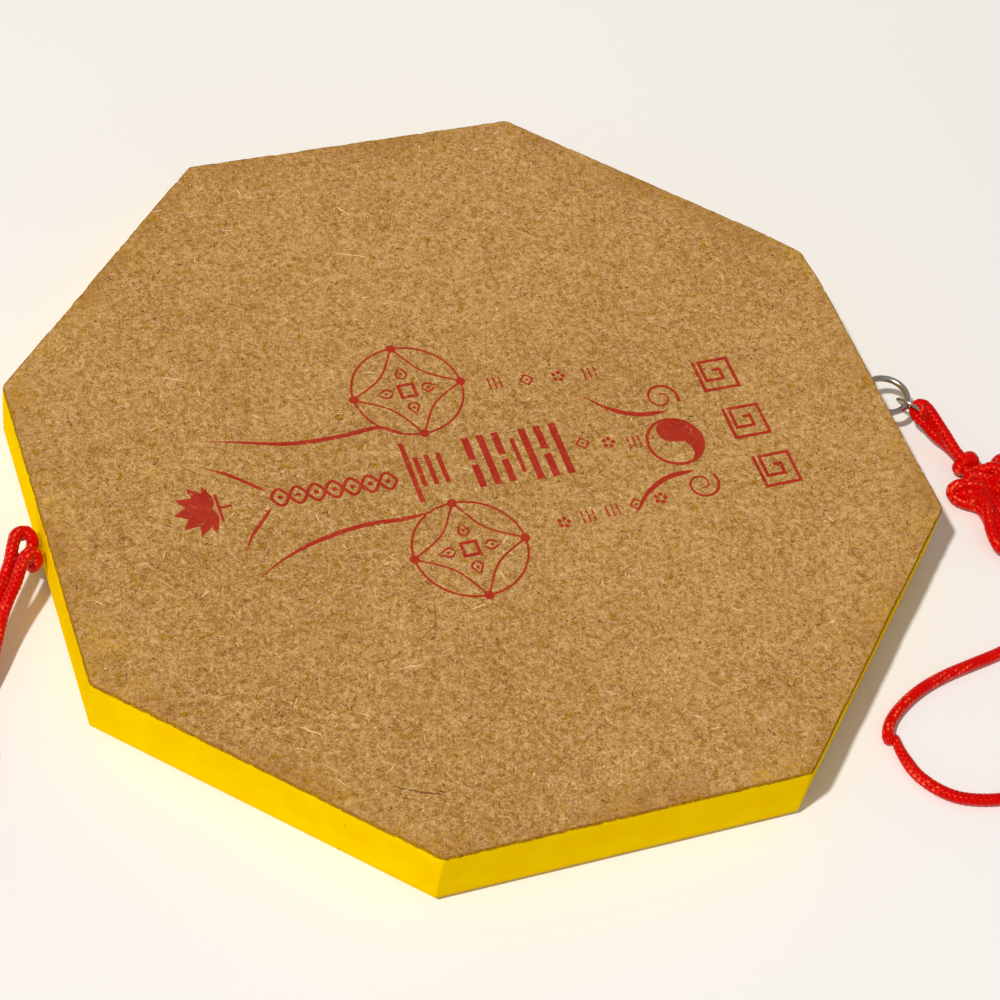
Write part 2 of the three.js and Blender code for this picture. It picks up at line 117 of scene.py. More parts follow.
# Camera of the photograph, fitted to the plaque's corners
CAMERA_LENS = 93.502
CAMERA_SENSOR = 36.0
CAMERA_AT = ((BOARD_X - 174.23) * MM, -0.33580, 0.47275)
CAMERA_RIGHT = (0.93698, -0.32412, 0.13045)
CAMERA_DOWN = (-0.18118, -0.77000, -0.61178)


def add_camera():
    data = bpy.data.cameras.new("photo_camera")
    data.sensor_width = CAMERA_SENSOR
    data.lens = CAMERA_LENS
    data.clip_start, data.clip_end = 0.01, 20.0
    camera = placed("photo_camera", data)
    right = Vector(CAMERA_RIGHT).normalized()
    ahead = right.cross(Vector(CAMERA_DOWN)).normalized()
    down = ahead.cross(right).normalized()
    turn = Matrix((right, -down, -ahead)).transposed()
    camera.matrix_world = Matrix.Translation(CAMERA_AT) @ turn.to_4x4()
    bpy.context.scene.camera = camera


add_camera()


# Materials. Scales of noise are per millimetre, and bumps are in metres.

class Nodes:
    """One material's nodes, built with short calls."""

    def __init__(self, name):
        self.material = bpy.data.materials.new(name)
        self.material.use_nodes = True
        self.tree = self.material.node_tree
        self.tree.nodes.clear()
        output = self.tree.nodes.new("ShaderNodeOutputMaterial")
        self.shader = self.tree.nodes.new("ShaderNodeBsdfPrincipled")
        self.link(self.shader.outputs[0], output.inputs["Surface"])

    def add(self, kind, **values):
        node = self.tree.nodes.new("ShaderNode" + kind)
        for name, value in values.items():
            setattr(node, name, value)
        return node

    def link(self, source, target):
        self.tree.links.new(source, target)

    def feed(self, socket, value):
        if isinstance(value, bpy.types.NodeSocket):
            self.link(value, socket)
        else:
            socket.default_value = value

    def math(self, operation, a, b=0.0, clamp=False):
        node = self.add("Math", operation=operation, use_clamp=clamp)
        self.feed(node.inputs[0], a)
        self.feed(node.inputs[1], b)
        return node.outputs[0]

    def plus(self, a, b):
        return self.math("ADD", a, b)

    def minus(self, a, b):
        return self.math("SUBTRACT", a, b)

    def times(self, a, b, clamp=False):
        return self.math("MULTIPLY", a, b, clamp)

    def above(self, a, b):
        return self.math("GREATER_THAN", a, b)

    def below(self, a, b):
        return self.math("LESS_THAN", a, b)

    def far(self, x, y):
        return self.math("SQRT", self.plus(self.times(x, x), self.times(y, y)))

    def swing(self, noise, most):
        """Noise as a shift to both sides of nothing."""
        return self.times(self.minus(noise, 0.5), most)

    def mix(self, share, a, b):
        node = self.add("Mix", data_type="RGBA")
        self.feed(node.inputs[0], share)
        self.feed(node.inputs[6], a)
        self.feed(node.inputs[7], b)
        return node.outputs[2]

    def fade(self, source, low, high, most=1.0):
        """0 at low, most at high, and straight between them. High may be under low."""
        node = self.add("MapRange")
        self.feed(node.inputs[0], source)
        for index, value in enumerate((low, high, 0.0, most)):
            node.inputs[index + 1].default_value = value
        return node.outputs[0]

    def over(self, base, source, low, high, colour, most=1.0):
        """The base, with a colour laid over it as the source goes from low to high."""
        return self.mix(self.fade(source, low, high, most), base, seen(*colour))

    def where(self, scale=(1, 1, 1), turn=0.0, shift=0.0):
        """Object coordinates in millimetres, turned in the plane and stretched."""
        spot = self.add("TexCoord")
        turned = self.add("Mapping", vector_type="POINT")
        turned.inputs["Scale"].default_value = (1000, 1000, 1000)
        turned.inputs["Rotation"].default_value = (0, 0, turn)
        turned.inputs["Location"].default_value = (shift, 2 * shift, 0)
        stretched = self.add("Mapping", vector_type="POINT")
        stretched.inputs["Scale"].default_value = scale
        self.link(spot.outputs["Object"], turned.inputs[0])
        self.link(turned.outputs[0], stretched.inputs[0])
        return stretched.outputs[0]

    def noise(self, vector, scale, detail=2.0, rough=0.5, warp=0.0):
        node = self.add("TexNoise")
        self.link(vector, node.inputs["Vector"])
        node.inputs["Scale"].default_value = scale
        node.inputs["Detail"].default_value = detail
        node.inputs["Roughness"].default_value = rough
        node.inputs["Distortion"].default_value = warp
        return node.outputs[0]

    def cells(self, vector, scale):
        node = self.add("TexVoronoi")
        self.link(vector, node.inputs["Vector"])
        node.inputs["Scale"].default_value = scale
        return node.outputs

    def specks(self, scale, channel, rarity, reach, core, most):
        """Spots in some of the cells: most of a spot's strength at its core, none at its reach."""
        cells = self.cells(self.where(), scale)
        few = self.above(self.split(cells["Color"])[channel], rarity)
        return self.times(self.fade(cells["Distance"], reach, core, most), few)

    def split(self, vector):
        node = self.add("SeparateXYZ")
        self.link(vector, node.inputs[0])
        return node.outputs

    def bump(self, height, strength, distance):
        node = self.add("Bump")
        node.inputs["Strength"].default_value = strength
        node.inputs["Distance"].default_value = distance
        self.link(height, node.inputs["Height"])
        self.link(node.outputs[0], self.shader.inputs["Normal"])

    def done(self, **values):
        for name, value in values.items():
            self.feed(self.shader.inputs[name.replace("_", " ")], value)
        return self.material


def seen(red, green, blue):
    """A colour written as it looks, 0 to 255, as the linear colour that a shader takes."""
    out = []
    for value in (red, green, blue):
        share = value / 255.0
        out.append(share / 12.92 if share <= 0.04045 else ((share + 0.055) / 1.055) ** 2.4)
    return (*out, 1.0)


def fibreboard(n):
    """Bare fibreboard: tan, of pressed fibres, with fine dark flecks and paler slivers."""
    flat = n.where()
    grain = n.noise(flat, 0.85, 4.0, 0.72, 0.5)
    fine = n.noise(flat, 2.35, 3.0, 0.7)
    base = n.over(seen(179, 132, 73), n.noise(flat, 0.018, 3.0), 0.38, 0.62, (192, 145, 84))
    base = n.over(base, n.noise(flat, 0.10, 3.0, 0.6), 0.42, 0.66, (168, 120, 60), 0.5)
    base = n.over(base, grain, 0.50, 0.68, (216, 176, 116), 0.75)
    base = n.over(base, grain, 0.49, 0.32, (134, 90, 42), 0.80)
    base = n.over(base, fine, 0.46, 0.30, (102, 66, 30), 0.70)
    base = n.over(base, fine, 0.53, 0.68, (236, 202, 146), 0.66)
    for turn, shift in ((0.35, 3.0), (1.45, 17.0), (2.6, 41.0)):
        strand = n.noise(n.where((1.0, 0.2, 1.0), turn, shift), 1.2, 2.0, 0.6, 0.3)
        base = n.over(base, strand, 0.60, 0.74, (226, 190, 130), 0.45)
        base = n.over(base, strand, 0.37, 0.26, (106, 68, 32), 0.45)
    base = n.mix(n.specks(0.33, 0, 0.66, 0.15, 0.07, 0.7), base, seen(72, 44, 20))
    return base, grain, fine


def edge_distance(n):
    """How far a point of the board is inside the octagon's flats, in millimetres."""
    x, y, _ = n.split(n.where())
    x = n.minus(x, BOARD_X)
    most = None
    for turn in QUARTERS:
        reach = n.plus(n.times(x, math.cos(turn)), n.times(y, math.sin(turn)))
        reach = n.math("ABSOLUTE", reach)
        most = reach if most is None else n.math("MAXIMUM", most, reach)
    return n.minus(APOTHEM, most)


# Dabs of the side's paint on the back, and how far each reaches
PAINT_DABS = (
    (93.9, -45.9, 6.0),
    (98.9, 37.6, 6.0),
    (-95.3, -31.3, 7.0),
    (-81.7, -21.8, 5.0),
    (-71.7, 10.0, 4.0),
    (74.3, -62.0, 5.0),
    (55.8, -84.8, 5.0),
    (30.3, -96.5, 4.0),
)


def yellow_paint(n):
    """Brushed paint on fibreboard, a little uneven."""
    flat = n.where()
    base = n.over(seen(246, 209, 0), n.noise(flat, 0.12, 3.0, 0.6), 0.35, 0.70, (243, 198, 0))
    mottle = n.noise(flat, 1.4, 3.0, 0.65)
    return n.over(base, mottle, 0.55, 0.75, (236, 186, 0), 0.5), mottle


def board_material():
    """Back and sides: bare board above, yellow paint on the sides, a torn line between."""
    n = Nodes("board_back_and_sides")
    bare, grain, fine = fibreboard(n)
    paint, mottle = yellow_paint(n)
    flat = n.where()
    x, y, height = n.split(flat)
    inside = edge_distance(n)
    near_edge = n.fade(inside, 9.0, 0.0)
    # Handling has browned the back near its edge
    browned = n.fade(n.noise(flat, 0.05, 3.0, 0.6), 0.40, 0.62, 0.6)
    bare = n.mix(n.times(near_edge, browned), bare, seen(160, 108, 56))
    # Paint that ran or was dabbed over the back's edge
    patch = n.noise(flat, 0.075, 3.0, 0.65)
    dab = n.noise(flat, 0.9, 4.0, 0.75)
    mist = n.times(near_edge, n.fade(patch, 0.50, 0.70), True)
    mist = n.times(mist, n.fade(dab, 0.42, 0.60, 0.75))
    ragged, broken = n.swing(patch, 26.0), n.fade(dab, 0.42, 0.64, 0.7)
    for dab_x, dab_y, reach in PAINT_DABS:
        away = n.plus(n.far(n.minus(x, dab_x + BOARD_X), n.minus(y, dab_y)), ragged)
        mist = n.math("MAXIMUM", mist, n.times(n.fade(away, reach, -0.2 * reach), broken))
    rim = n.times(n.fade(inside, 1.6, 0.1), n.fade(dab, 0.50, 0.62, 0.8))
    back = n.mix(n.math("MAXIMUM", mist, rim), bare, seen(206, 162, 30))
    back = n.over(back, inside, 0.62, 0.25, (132, 88, 40), 0.7)
    # The arris is worn to a brown line, and the paint starts under it
    level = n.plus(height, n.swing(n.noise(flat, 0.55, 4.0, 0.7), 1.3))
    worn = n.over(seen(132, 90, 14), fine, 0.4, 0.6, (182, 134, 20))
    side = n.mix(n.fade(level, THICKNESS - 0.95, THICKNESS - 0.55), paint, worn)
    share = n.fade(level, THICKNESS - 0.25, THICKNESS - 0.02)
    colour = n.mix(share, side, back)
    # Specks of dirt and small chips in the paint
    specks = n.times(n.specks(0.11, 1, 0.70, 0.05, 0.02, 0.6), n.minus(1.0, share))
    colour = n.mix(specks, colour, seen(150, 104, 12))
    relief = n.plus(n.times(grain, share), n.times(mottle, 0.35))
    relief = n.plus(relief, n.times(n.times(fine, 0.6), share))
    n.bump(relief, 0.55, 0.00022)
    rough = n.plus(n.times(share, 0.38), n.fade(mottle, 0.2, 0.8, 0.16))
    return n.done(Base_Color=colour, Roughness=n.plus(rough, 0.36), Specular_IOR_Level=0.0)


# Radii at which the front's red ring ends, its green groove ends and its black bars start,
# and how far inside the flats the bars start and the border ends
RED_END = 48.4
GREEN_END = 51.6
BARS_START = 52.0
BORDER_START = 5.0
BORDER_END = 12.6


def front_material():
    """Painted front: yellow, with a red ring, a green groove, black bars and a red border."""
    n = Nodes("board_front")
    paint, mottle = yellow_paint(n)
    flat = n.where()
    x, y, height = n.split(flat)
    reach = n.plus(n.far(n.minus(x, BOARD_X), y), n.swing(n.noise(flat, 0.3, 3.0), 0.5))
    inside = edge_distance(n)
    red, green, black = (n.over(seen(*first), mottle, 0.4, 0.7, second) for first, second in (
        ((196, 26, 18), (176, 18, 14)),
        ((22, 122, 60), (14, 104, 48)),
        ((30, 26, 24), (44, 38, 34)),
    ))
    colour = n.mix(n.below(reach, RED_END), paint, red)
    colour = n.mix(n.times(n.above(reach, RED_END), n.below(reach, GREEN_END)), colour, green)
    deep = n.times(n.above(height, 0.35), n.above(inside, BORDER_START))
    outer = n.times(deep, n.above(reach, BARS_START))
    colour = n.mix(outer, colour, black)
    colour = n.mix(n.times(outer, n.below(inside, BORDER_END)), colour, red)
    worn = n.fade(n.noise(flat, 0.8, 4.0, 0.7), 0.66, 0.72, 0.7)
    colour = n.mix(n.times(worn, n.below(height, 0.3)), colour, seen(150, 104, 46))
    n.bump(mottle, 0.4, 0.00015)
    return n.done(Base_Color=colour, Roughness=n.fade(mottle, 0.2, 0.8, 0.5),
                  Specular_IOR_Level=0.08)


def pocket_material():
    """Unpainted walls of the mirror's pocket."""
    n = Nodes("board_pocket")
    bare, grain, _ = fibreboard(n)
    n.bump(grain, 0.6, 0.0003)
    return n.done(Base_Color=n.mix(0.35, bare, seen(120, 82, 42)), Roughness=0.85,
                  Specular_IOR_Level=0.15)


def ink_material():
    """Red print that the board's grain breaks up."""
    n = Nodes("print_red")
    bare, grain, fine = fibreboard(n)
    tone = n.noise(n.where(), 0.25, 3.0)
    red = n.over(seen(163, 40, 22), tone, 0.35, 0.65, (176, 50, 28))
    red = n.over(red, fine, 0.45, 0.30, (132, 32, 20), 0.5)
    gaps = n.math("MAXIMUM", n.fade(grain, 0.60, 0.72, 0.55), n.fade(fine, 0.62, 0.74, 0.5))
    n.bump(grain, 0.4, 0.0002)
    return n.done(Base_Color=n.mix(gaps, red, bare), Roughness=0.8, Specular_IOR_Level=0.15)


def fibre_material(name, first, second):
    """Loose fibres at the board's face, between two tones."""
    n = Nodes(name)
    n.bump(n.noise(n.where(), 6.0, 2.0), 0.4, 0.0001)
    base = n.over(seen(*first), n.noise(n.where(), 0.5, 2.0), 0.35, 0.65, second)
    return n.done(Base_Color=base, Roughness=0.7, Specular_IOR_Level=0.2)


def satin(n, base, tone):
    """Red satin: soft gloss with a warm tint."""
    return n.done(Base_Color=base, Roughness=n.fade(tone, -0.3, 1.3, 0.62),
                  Specular_IOR_Level=0.25, Specular_Tint=(1.0, 0.42, 0.26, 1.0))


def cord_material():
    """Red satin braid. The UV map holds the turn round the cord and the way along it."""
    n = Nodes("red_satin_cord")
    across, along, _ = n.split(n.add("TexCoord").outputs["UV"])
    tone = n.noise(n.where(), 0.35, 3.0, 0.6)
    # The same weave as the relief of the mesh: each yarn goes over one and under the next
    around = n.times(across, BRAID_COLUMNS / (2 * math.pi))
    ahead = n.times(along, 1 / BRAID_PITCH)
    first, second = n.plus(around, ahead), n.minus(around, ahead)
    cell_a, cell_b = n.math("FLOOR", first), n.math("FLOOR", second)
    count = n.plus(cell_a, cell_b)
    under = n.math("FLOORED_MODULO", count, 2.0)
    over = n.minus(1.0, under)
    rest_a, rest_b = n.minus(first, cell_a), n.minus(second, cell_b)
    wide = n.plus(n.times(rest_a, over), n.times(rest_b, under))
    long = n.plus(n.times(rest_b, over), n.times(rest_a, under))
    ridge = n.math("SINE", n.times(wide, math.pi))
    swell = n.math("SINE", n.times(long, math.pi))
    yarn = n.times(ridge, n.plus(n.times(swell, 0.65), 0.35))
    # Filaments that run along each yarn
    silk = n.math("SINE", n.times(wide, 19.0))
    # Each float of a yarn gets its painted highlight at its own random strength
    mark = n.add("CombineXYZ")
    n.link(n.minus(cell_a, cell_b), mark.inputs[0])
    n.link(n.math("FLOORED_MODULO", count, 2.0 * BRAID_COLUMNS), mark.inputs[1])
    luck = n.add("TexWhiteNoise", noise_dimensions="2D")
    n.link(mark.outputs[0], luck.inputs["Vector"])
    base = n.over(seen(218, 0, 0), tone, 0.35, 0.65, (202, 0, 0))
    # Painted shade: a darker red where the yarns dip, in the grooves between them
    base = n.over(base, yarn, 0.45, 0.05, (135, 0, 0), 0.42)
    # A painted highlight: a lighter orange glint in the base colour lies along the cord on each
    # float, in rows that come and go
    off_a, off_b = n.minus(rest_a, 0.5), n.minus(rest_b, 0.5)
    beside = n.math("ABSOLUTE", n.plus(off_a, off_b))
    beyond = n.math("ABSOLUTE", n.minus(off_a, off_b))
    painted_glint = n.times(n.fade(beside, 0.30, 0.12), n.fade(beyond, 0.85, 0.50))
    painted_glint = n.times(painted_glint, n.fade(n.noise(n.where(), 0.13, 2.0), 0.44, 0.60))
    painted_glint = n.times(painted_glint, n.fade(luck.outputs[0], 0.35, 0.80, 0.9))
    base = n.mix(painted_glint, base, seen(255, 100, 62))
    n.bump(n.plus(yarn, n.times(silk, 0.05)), 0.55, 0.00012)
    return satin(n, base, tone)


def thread_material():
    """Red satin thread of the tassel, a little uneven in tone."""
    n = Nodes("red_satin_thread")
    tone = n.noise(n.where(), 0.35, 3.0, 0.6)
    fine = n.noise(n.where(), 1.8, 2.0, 0.6)
    base = n.over(seen(212, 0, 0), tone, 0.32, 0.68, (184, 0, 0))
    base = n.over(base, fine, 0.56, 0.72, (240, 48, 30), 0.35)
    base = n.over(base, fine, 0.44, 0.30, (132, 0, 0), 0.35)
    n.bump(fine, 0.3, 0.00008)
    return satin(n, base, tone)


def metal_material():
    """Nickel plate that is a little dull, with fine draw marks and dark spots."""
    n = Nodes("nickel_plate")
    flat = n.where()
    tone = n.noise(flat, 0.6, 3.0, 0.6)
    base = n.over(seen(206, 202, 194), tone, 0.3, 0.7, (176, 170, 160))
    base = n.over(base, n.noise(flat, 2.4, 3.0, 0.7), 0.62, 0.72, (96, 84, 70), 0.7)
    n.bump(n.noise(n.where((1, 1, 6)), 2.0, 3.0), 0.25, 0.00005)
    return n.done(Base_Color=base, Metallic=1.0, Roughness=n.fade(tone, -0.4, 1.6, 0.55))


def glass_material():
    """Silvered glass with a faint haze and a few dark spots."""
    n = Nodes("silvered_glass")
    flat = n.where()
    haze = n.noise(flat, 0.05, 3.0)
    base = n.over(seen(232, 236, 236), haze, 0.4, 0.7, (222, 228, 229))
    base = n.over(base, n.cells(flat, 0.06)["Distance"], 0.03, 0.01, (120, 116, 108), 0.4)
    return n.done(Base_Color=base, Metallic=1.0, Roughness=n.fade(haze, -0.2, 3.0, 0.3))


def foam_material():
    """Pale foam with open pores."""
    n = Nodes("pad_foam")
    shade = n.fade(n.cells(n.where(), 2.2)["Distance"], 0.0, 0.5)
    n.bump(shade, 0.8, 0.0003)
    return n.done(Base_Color=n.mix(shade, seen(188, 184, 172), seen(230, 227, 217)), Roughness=0.9)


BOARD = board_material()
FRONT = front_material()
POCKET = pocket_material()
INK = ink_material()
PALE = fibre_material("fibre_pale", (236, 208, 156), (214, 178, 120))
DARK = fibre_material("fibre_dark", (92, 58, 28), (120, 80, 40))
RED = cord_material()
THREAD = thread_material()
METAL = metal_material()
GLASS = glass_material()
FOAM = foam_material()


# Building blocks

def add_piece(name, points, faces, body, material, smooth=True, around=None):
    """A mesh piece whose points are in the row frame, in metres, that rides on a body."""
    mesh = bpy.data.meshes.new(name)
    mesh.from_pydata([tuple(p) for p in points], [], [tuple(f) for f in faces])
    if around is not None:
        uv = mesh.uv_layers.new(name="along")
        loops = np.zeros(len(mesh.loops), np.int32)
        mesh.loops.foreach_get("vertex_index", loops)
        corners = np.array(around, np.float32)[loops]
        # A face that closes the ring takes a whole turn for its far corners
        starts = np.array([p.loop_start for p in mesh.polygons if p.loop_total == 4])
        picked = starts[:, None] + np.arange(4)
        turns = corners[picked, 0]
        low, high = turns.min(axis=1), turns.max(axis=1)
        far_corner = (high - low > math.pi)[:, None] & (turns < ((low + high) / 2)[:, None])
        turns[far_corner] += 2 * math.pi
        corners[picked, 0] = turns
        uv.data.foreach_set("uv", corners.ravel())
    mesh.materials.append(material)
    mesh.validate()
    if smooth:
        mesh.shade_smooth()
    piece = placed(name, mesh)
    if body:
        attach(piece, body)
    return piece


def curve_through(points, step=CORD_STEP):
    """Centripetal curve through the points, cut to about equal steps."""
    p = [np.array(point, float) for point in points]
    p = [2 * p[0] - p[1], *p, 2 * p[-1] - p[-2]]
    out = []
    for i in range(1, len(p) - 2):
        a, b, c, d = p[i - 1:i + 3]
        gaps = [max(np.linalg.norm(v - u) ** 0.5, 1e-6) for u, v in ((a, b), (b, c), (c, d))]
        first = ((b - a) / gaps[0] - (c - a) / (gaps[0] + gaps[1]) + (c - b) / gaps[1]) * gaps[1]
        last = ((c - b) / gaps[1] - (d - b) / (gaps[1] + gaps[2]) + (d - c) / gaps[2]) * gaps[1]
        for t in np.linspace(0, 1, 40, endpoint=False):
            out.append(b + first * t + (3 * (c - b) - 2 * first - last) * t ** 2
                       + (2 * (b - c) + first + last) * t ** 3)
    out.append(p[-2])
    return even(np.array(out), step)


def gaps_of(line):
    return np.linalg.norm(np.diff(line, axis=0), axis=1)


def distances(line):
    """The way along a line at each of its points."""
    return np.concatenate([[0], np.cumsum(gaps_of(line))])


def even(line, step):
    along = distances(line)
    at = np.linspace(0, along[-1], max(3, round(along[-1] / step) + 1))
    return np.stack([np.interp(at, along, line[:, k]) for k in range(3)], axis=1)


def turned_frames(line):
    """Directions along a line and two across it that don't twist."""
    ahead = np.gradient(line, axis=0)
    ahead /= np.linalg.norm(ahead, axis=1)[:, None]
    side = np.cross(ahead[0], (0, 0, 1.0))
    if np.linalg.norm(side) < 0.1:
        side = np.cross(ahead[0], (1.0, 0, 0))
    sides = []
    for direction in ahead:
        side = side - direction * (side @ direction)
        side = side / np.linalg.norm(side)
        sides.append(side)
    sides = np.array(sides)
    return ahead, sides, np.cross(ahead, sides)


def braid_relief(turn, along):
    """Height, 0 to 1, of a braid whose strands pass over and under one another."""
    a = BRAID_COLUMNS * turn / (2 * math.pi) + along / BRAID_PITCH
    b = BRAID_COLUMNS * turn / (2 * math.pi) - along / BRAID_PITCH
    over = (np.floor(a) + np.floor(b)) % 2 == 0
    a, b = a - np.floor(a), b - np.floor(b)
    across, ahead = np.where(over, a, b), np.where(over, b, a)
    return np.sin(math.pi * across) ** 0.7 * (0.35 + 0.65 * np.sin(math.pi * ahead))


def ring_faces(rings, sides, base=0, turned=False):
    """Faces between closed rings of points, which look the other way where turned."""
    faces = []
    for i in range(rings - 1):
        a, b = base + i * sides, base + (i + 1) * sides
        for k in range(sides):
            j = (k + 1) % sides
            faces.append((a + k, b + k, b + j, a + j) if turned else (a + k, a + j, b + j, b + k))
    return faces


def tube(line, radius, sides, relief=0.0, round_ends=True):
    """Points, faces and UV of a tube round a line, in the line's unit of length."""
    ahead, side, up = turned_frames(line)
    along = distances(line)
    radii = np.broadcast_to(np.asarray(radius, float), len(line)).copy()
    centres, scale = line, np.ones(len(line))
    if round_ends:
        more = len(END_RINGS)
        reach = np.sqrt(1 - END_RINGS ** 2)
        head = line[0] - ahead[0] * radii[0] * END_REACH * reach[::-1, None]
        tail = line[-1] + ahead[-1] * radii[-1] * END_REACH * reach[:, None]
        centres = np.vstack([head, line, tail])
        side, up = (np.vstack([[v[0]] * more, v, [v[-1]] * more]) for v in (side, up))
        along, radii = (np.concatenate([[v[0]] * more, v, [v[-1]] * more]) for v in (along, radii))
        scale = np.concatenate([END_RINGS[::-1], scale, END_RINGS])
    turn = np.arange(sides) / sides * 2 * math.pi
    grid_turn, grid_along = np.meshgrid(turn, along)
    reach = radii[:, None] * scale[:, None] * np.ones(sides)
    sway = BRAID_SWAY * np.sin(SWAY_RATE * grid_along + SWAY_START)
    braid_turn = grid_turn + BRAID_TURN * grid_along + sway
    if relief:
        reach += relief * (braid_relief(braid_turn, grid_along) - BRAID_LEVEL) * scale[:, None]
    ring = np.cos(grid_turn)[..., None] * side[:, None] + np.sin(grid_turn)[..., None] * up[:, None]
    points = (centres[:, None] + reach[..., None] * ring).reshape(-1, 3)
    count = len(centres)
    faces = ring_faces(count, sides)
    faces.append(tuple(range(sides))[::-1])
    faces.append(tuple((count - 1) * sides + k for k in range(sides)))
    uv = np.stack([braid_turn.ravel(), grid_along.ravel()], axis=1)
    return points, faces, uv


def braided(line, radius=CORD / 2):
    return tube(line, radius, CORD_SIDES, BRAID_RELIEF)


def tube_piece(name, parts, body, material=RED):
    """Tubes, each as points, faces and UV, as one piece."""
    points, faces, around, base = [], [], [], 0
    for p, f, uv in parts:
        points.append(p)
        around.append(uv)
        faces += [tuple(i + base for i in face) for face in f]
        base += len(p)
    return add_piece(name, rows(np.vstack(points)), faces, body, material,
                     around=np.vstack(around))


def cord_piece(name, route, body, thin_start=0.0, pressed=None):
    """A braided cord along a route in millimetres, and its centreline in metres.

    Its start can be drawn thin over 7 mm, and pressed is the braid squeezed up between
    two strands.
    """
    line = curve_through(route)
    along = np.arange(len(line)) * CORD_STEP
    radius = CORD / 2 - thin_start * np.clip(1 - along / 7.0, 0, 1)
    parts = [braided(line, radius)]
    if pressed:
        parts.append(braided(curve_through(pressed), 1.1))
    return tube_piece(name, parts, body), rows(line)


def length_of(line):
    return float(gaps_of(line).sum())


# Knots

def weave_height(degrees):
    """How far the knot's cord is above or under its middle plane."""
    after = next((i for i, turn in enumerate(MEETINGS) if turn > degrees), len(MEETINGS))
    before = after - 1
    start = MEETINGS[-1] - 360 if before < 0 else MEETINGS[before]
    end = MEETINGS[0] + 360 if after == len(MEETINGS) else MEETINGS[after]
    sign = 1 if (before + len(MEETINGS)) % 2 == 0 else -1
    return KNOT_WEAVE * sign * math.cos(math.pi * (degrees - start) / (end - start))


def knot_frame(collar, heading):
    """Turns the knot's own millimetres, with -Y away from its collar, into the board's."""
    ahead = np.array([math.cos(heading), math.sin(heading)])
    across = np.array([-math.sin(heading), math.cos(heading)])
    middle = np.array(collar[:2]) + ahead * COLLAR_TO_KNOT

    def place(points):
        points = np.array(points, float).reshape(-1, 3)
        flat = middle + points[:, :1] * across - points[:, 1:2] * ahead
        return np.column_stack([flat, points[:, 2]])

    return place


def both_sides(radius, turn):
    return [(radius, turn), (radius, [(-x, y, z) for x, y, z in turn])]


# Inner turns of the cord, which fill the weave from below: radius and points
KNOT_FILLING = [
    (1.45, [(0.0, 9.6, 0.0), (0.3, 6.5, -0.4), (0.0, 3.0, -0.9)]),
    (1.45, [(0.0, -2.6, -0.9), (-0.3, -6.4, -0.4), (0.2, -9.3, -0.3)]),
    *both_sides(1.3, [(-2.5, 9.8, -0.2), (-3.4, 8.2, -0.2), (-4.2, 6.4, -0.4)]),
    *both_sides(1.6, [(-2.4, 4.6, -0.5), (-3.2, 0.5, -0.2), (-3.2, -3.0, -0.3),
                      (-4.0, -6.0, -0.5)]),
    *both_sides(2.0, [(-7.3, 6.8, 0.1), (-5.8, 5.5, 0.1), (-3.6, 4.4, -0.3)]),
    *both_sides(2.0, [(-9.2, -7.4, 0.1), (-7.0, -6.2, 0.1), (-4.0, -5.2, -0.4)]),
    (1.35, [(-0.6, 9.4, 0.3), (1.4, 6.5, 0.4), (4.6, 4.7, 0.3), (7.2, 4.2, 0.1)]),
    (1.35, [(0.6, 9.4, 0.1), (-1.4, 6.5, 0.2), (-4.6, 4.7, 0.1), (-7.2, 4.2, 0.1)]),
    *both_sides(1.5, [(-4.6, 0.4, 0.1), (-6.2, -2.6, 0.2), (-7.6, -5.2, 0.1)]),
]
# Turn that binds the legs: radius of its cord, reach round them, length and steps
WRAP_CORD = 1.12
WRAP_REACH = 1.62
WRAP_LENGTH = 2.3
WRAP_STEPS = 30
# Its two bends, one on each side: aside, height, how far back and radius
WRAP_LUMPS = ((1.15, 3.8, 0.25, 2.25), (-2.0, 3.1, 0.35, 1.8))


def drawn_up(x, y):
    """Pulls the weave in at its waist and lets its far turns stand out."""
    along = COLLAR_TO_KNOT - y
    waist = math.exp(-((along - 11.0) / 3.2) ** 2)
    far = 1 / (1 + math.exp((14.0 - along) / 1.5))
    return x * (1 - 0.24 * waist) * (1 + 0.26 * far), y - 0.06 * far * (along - 12.0)


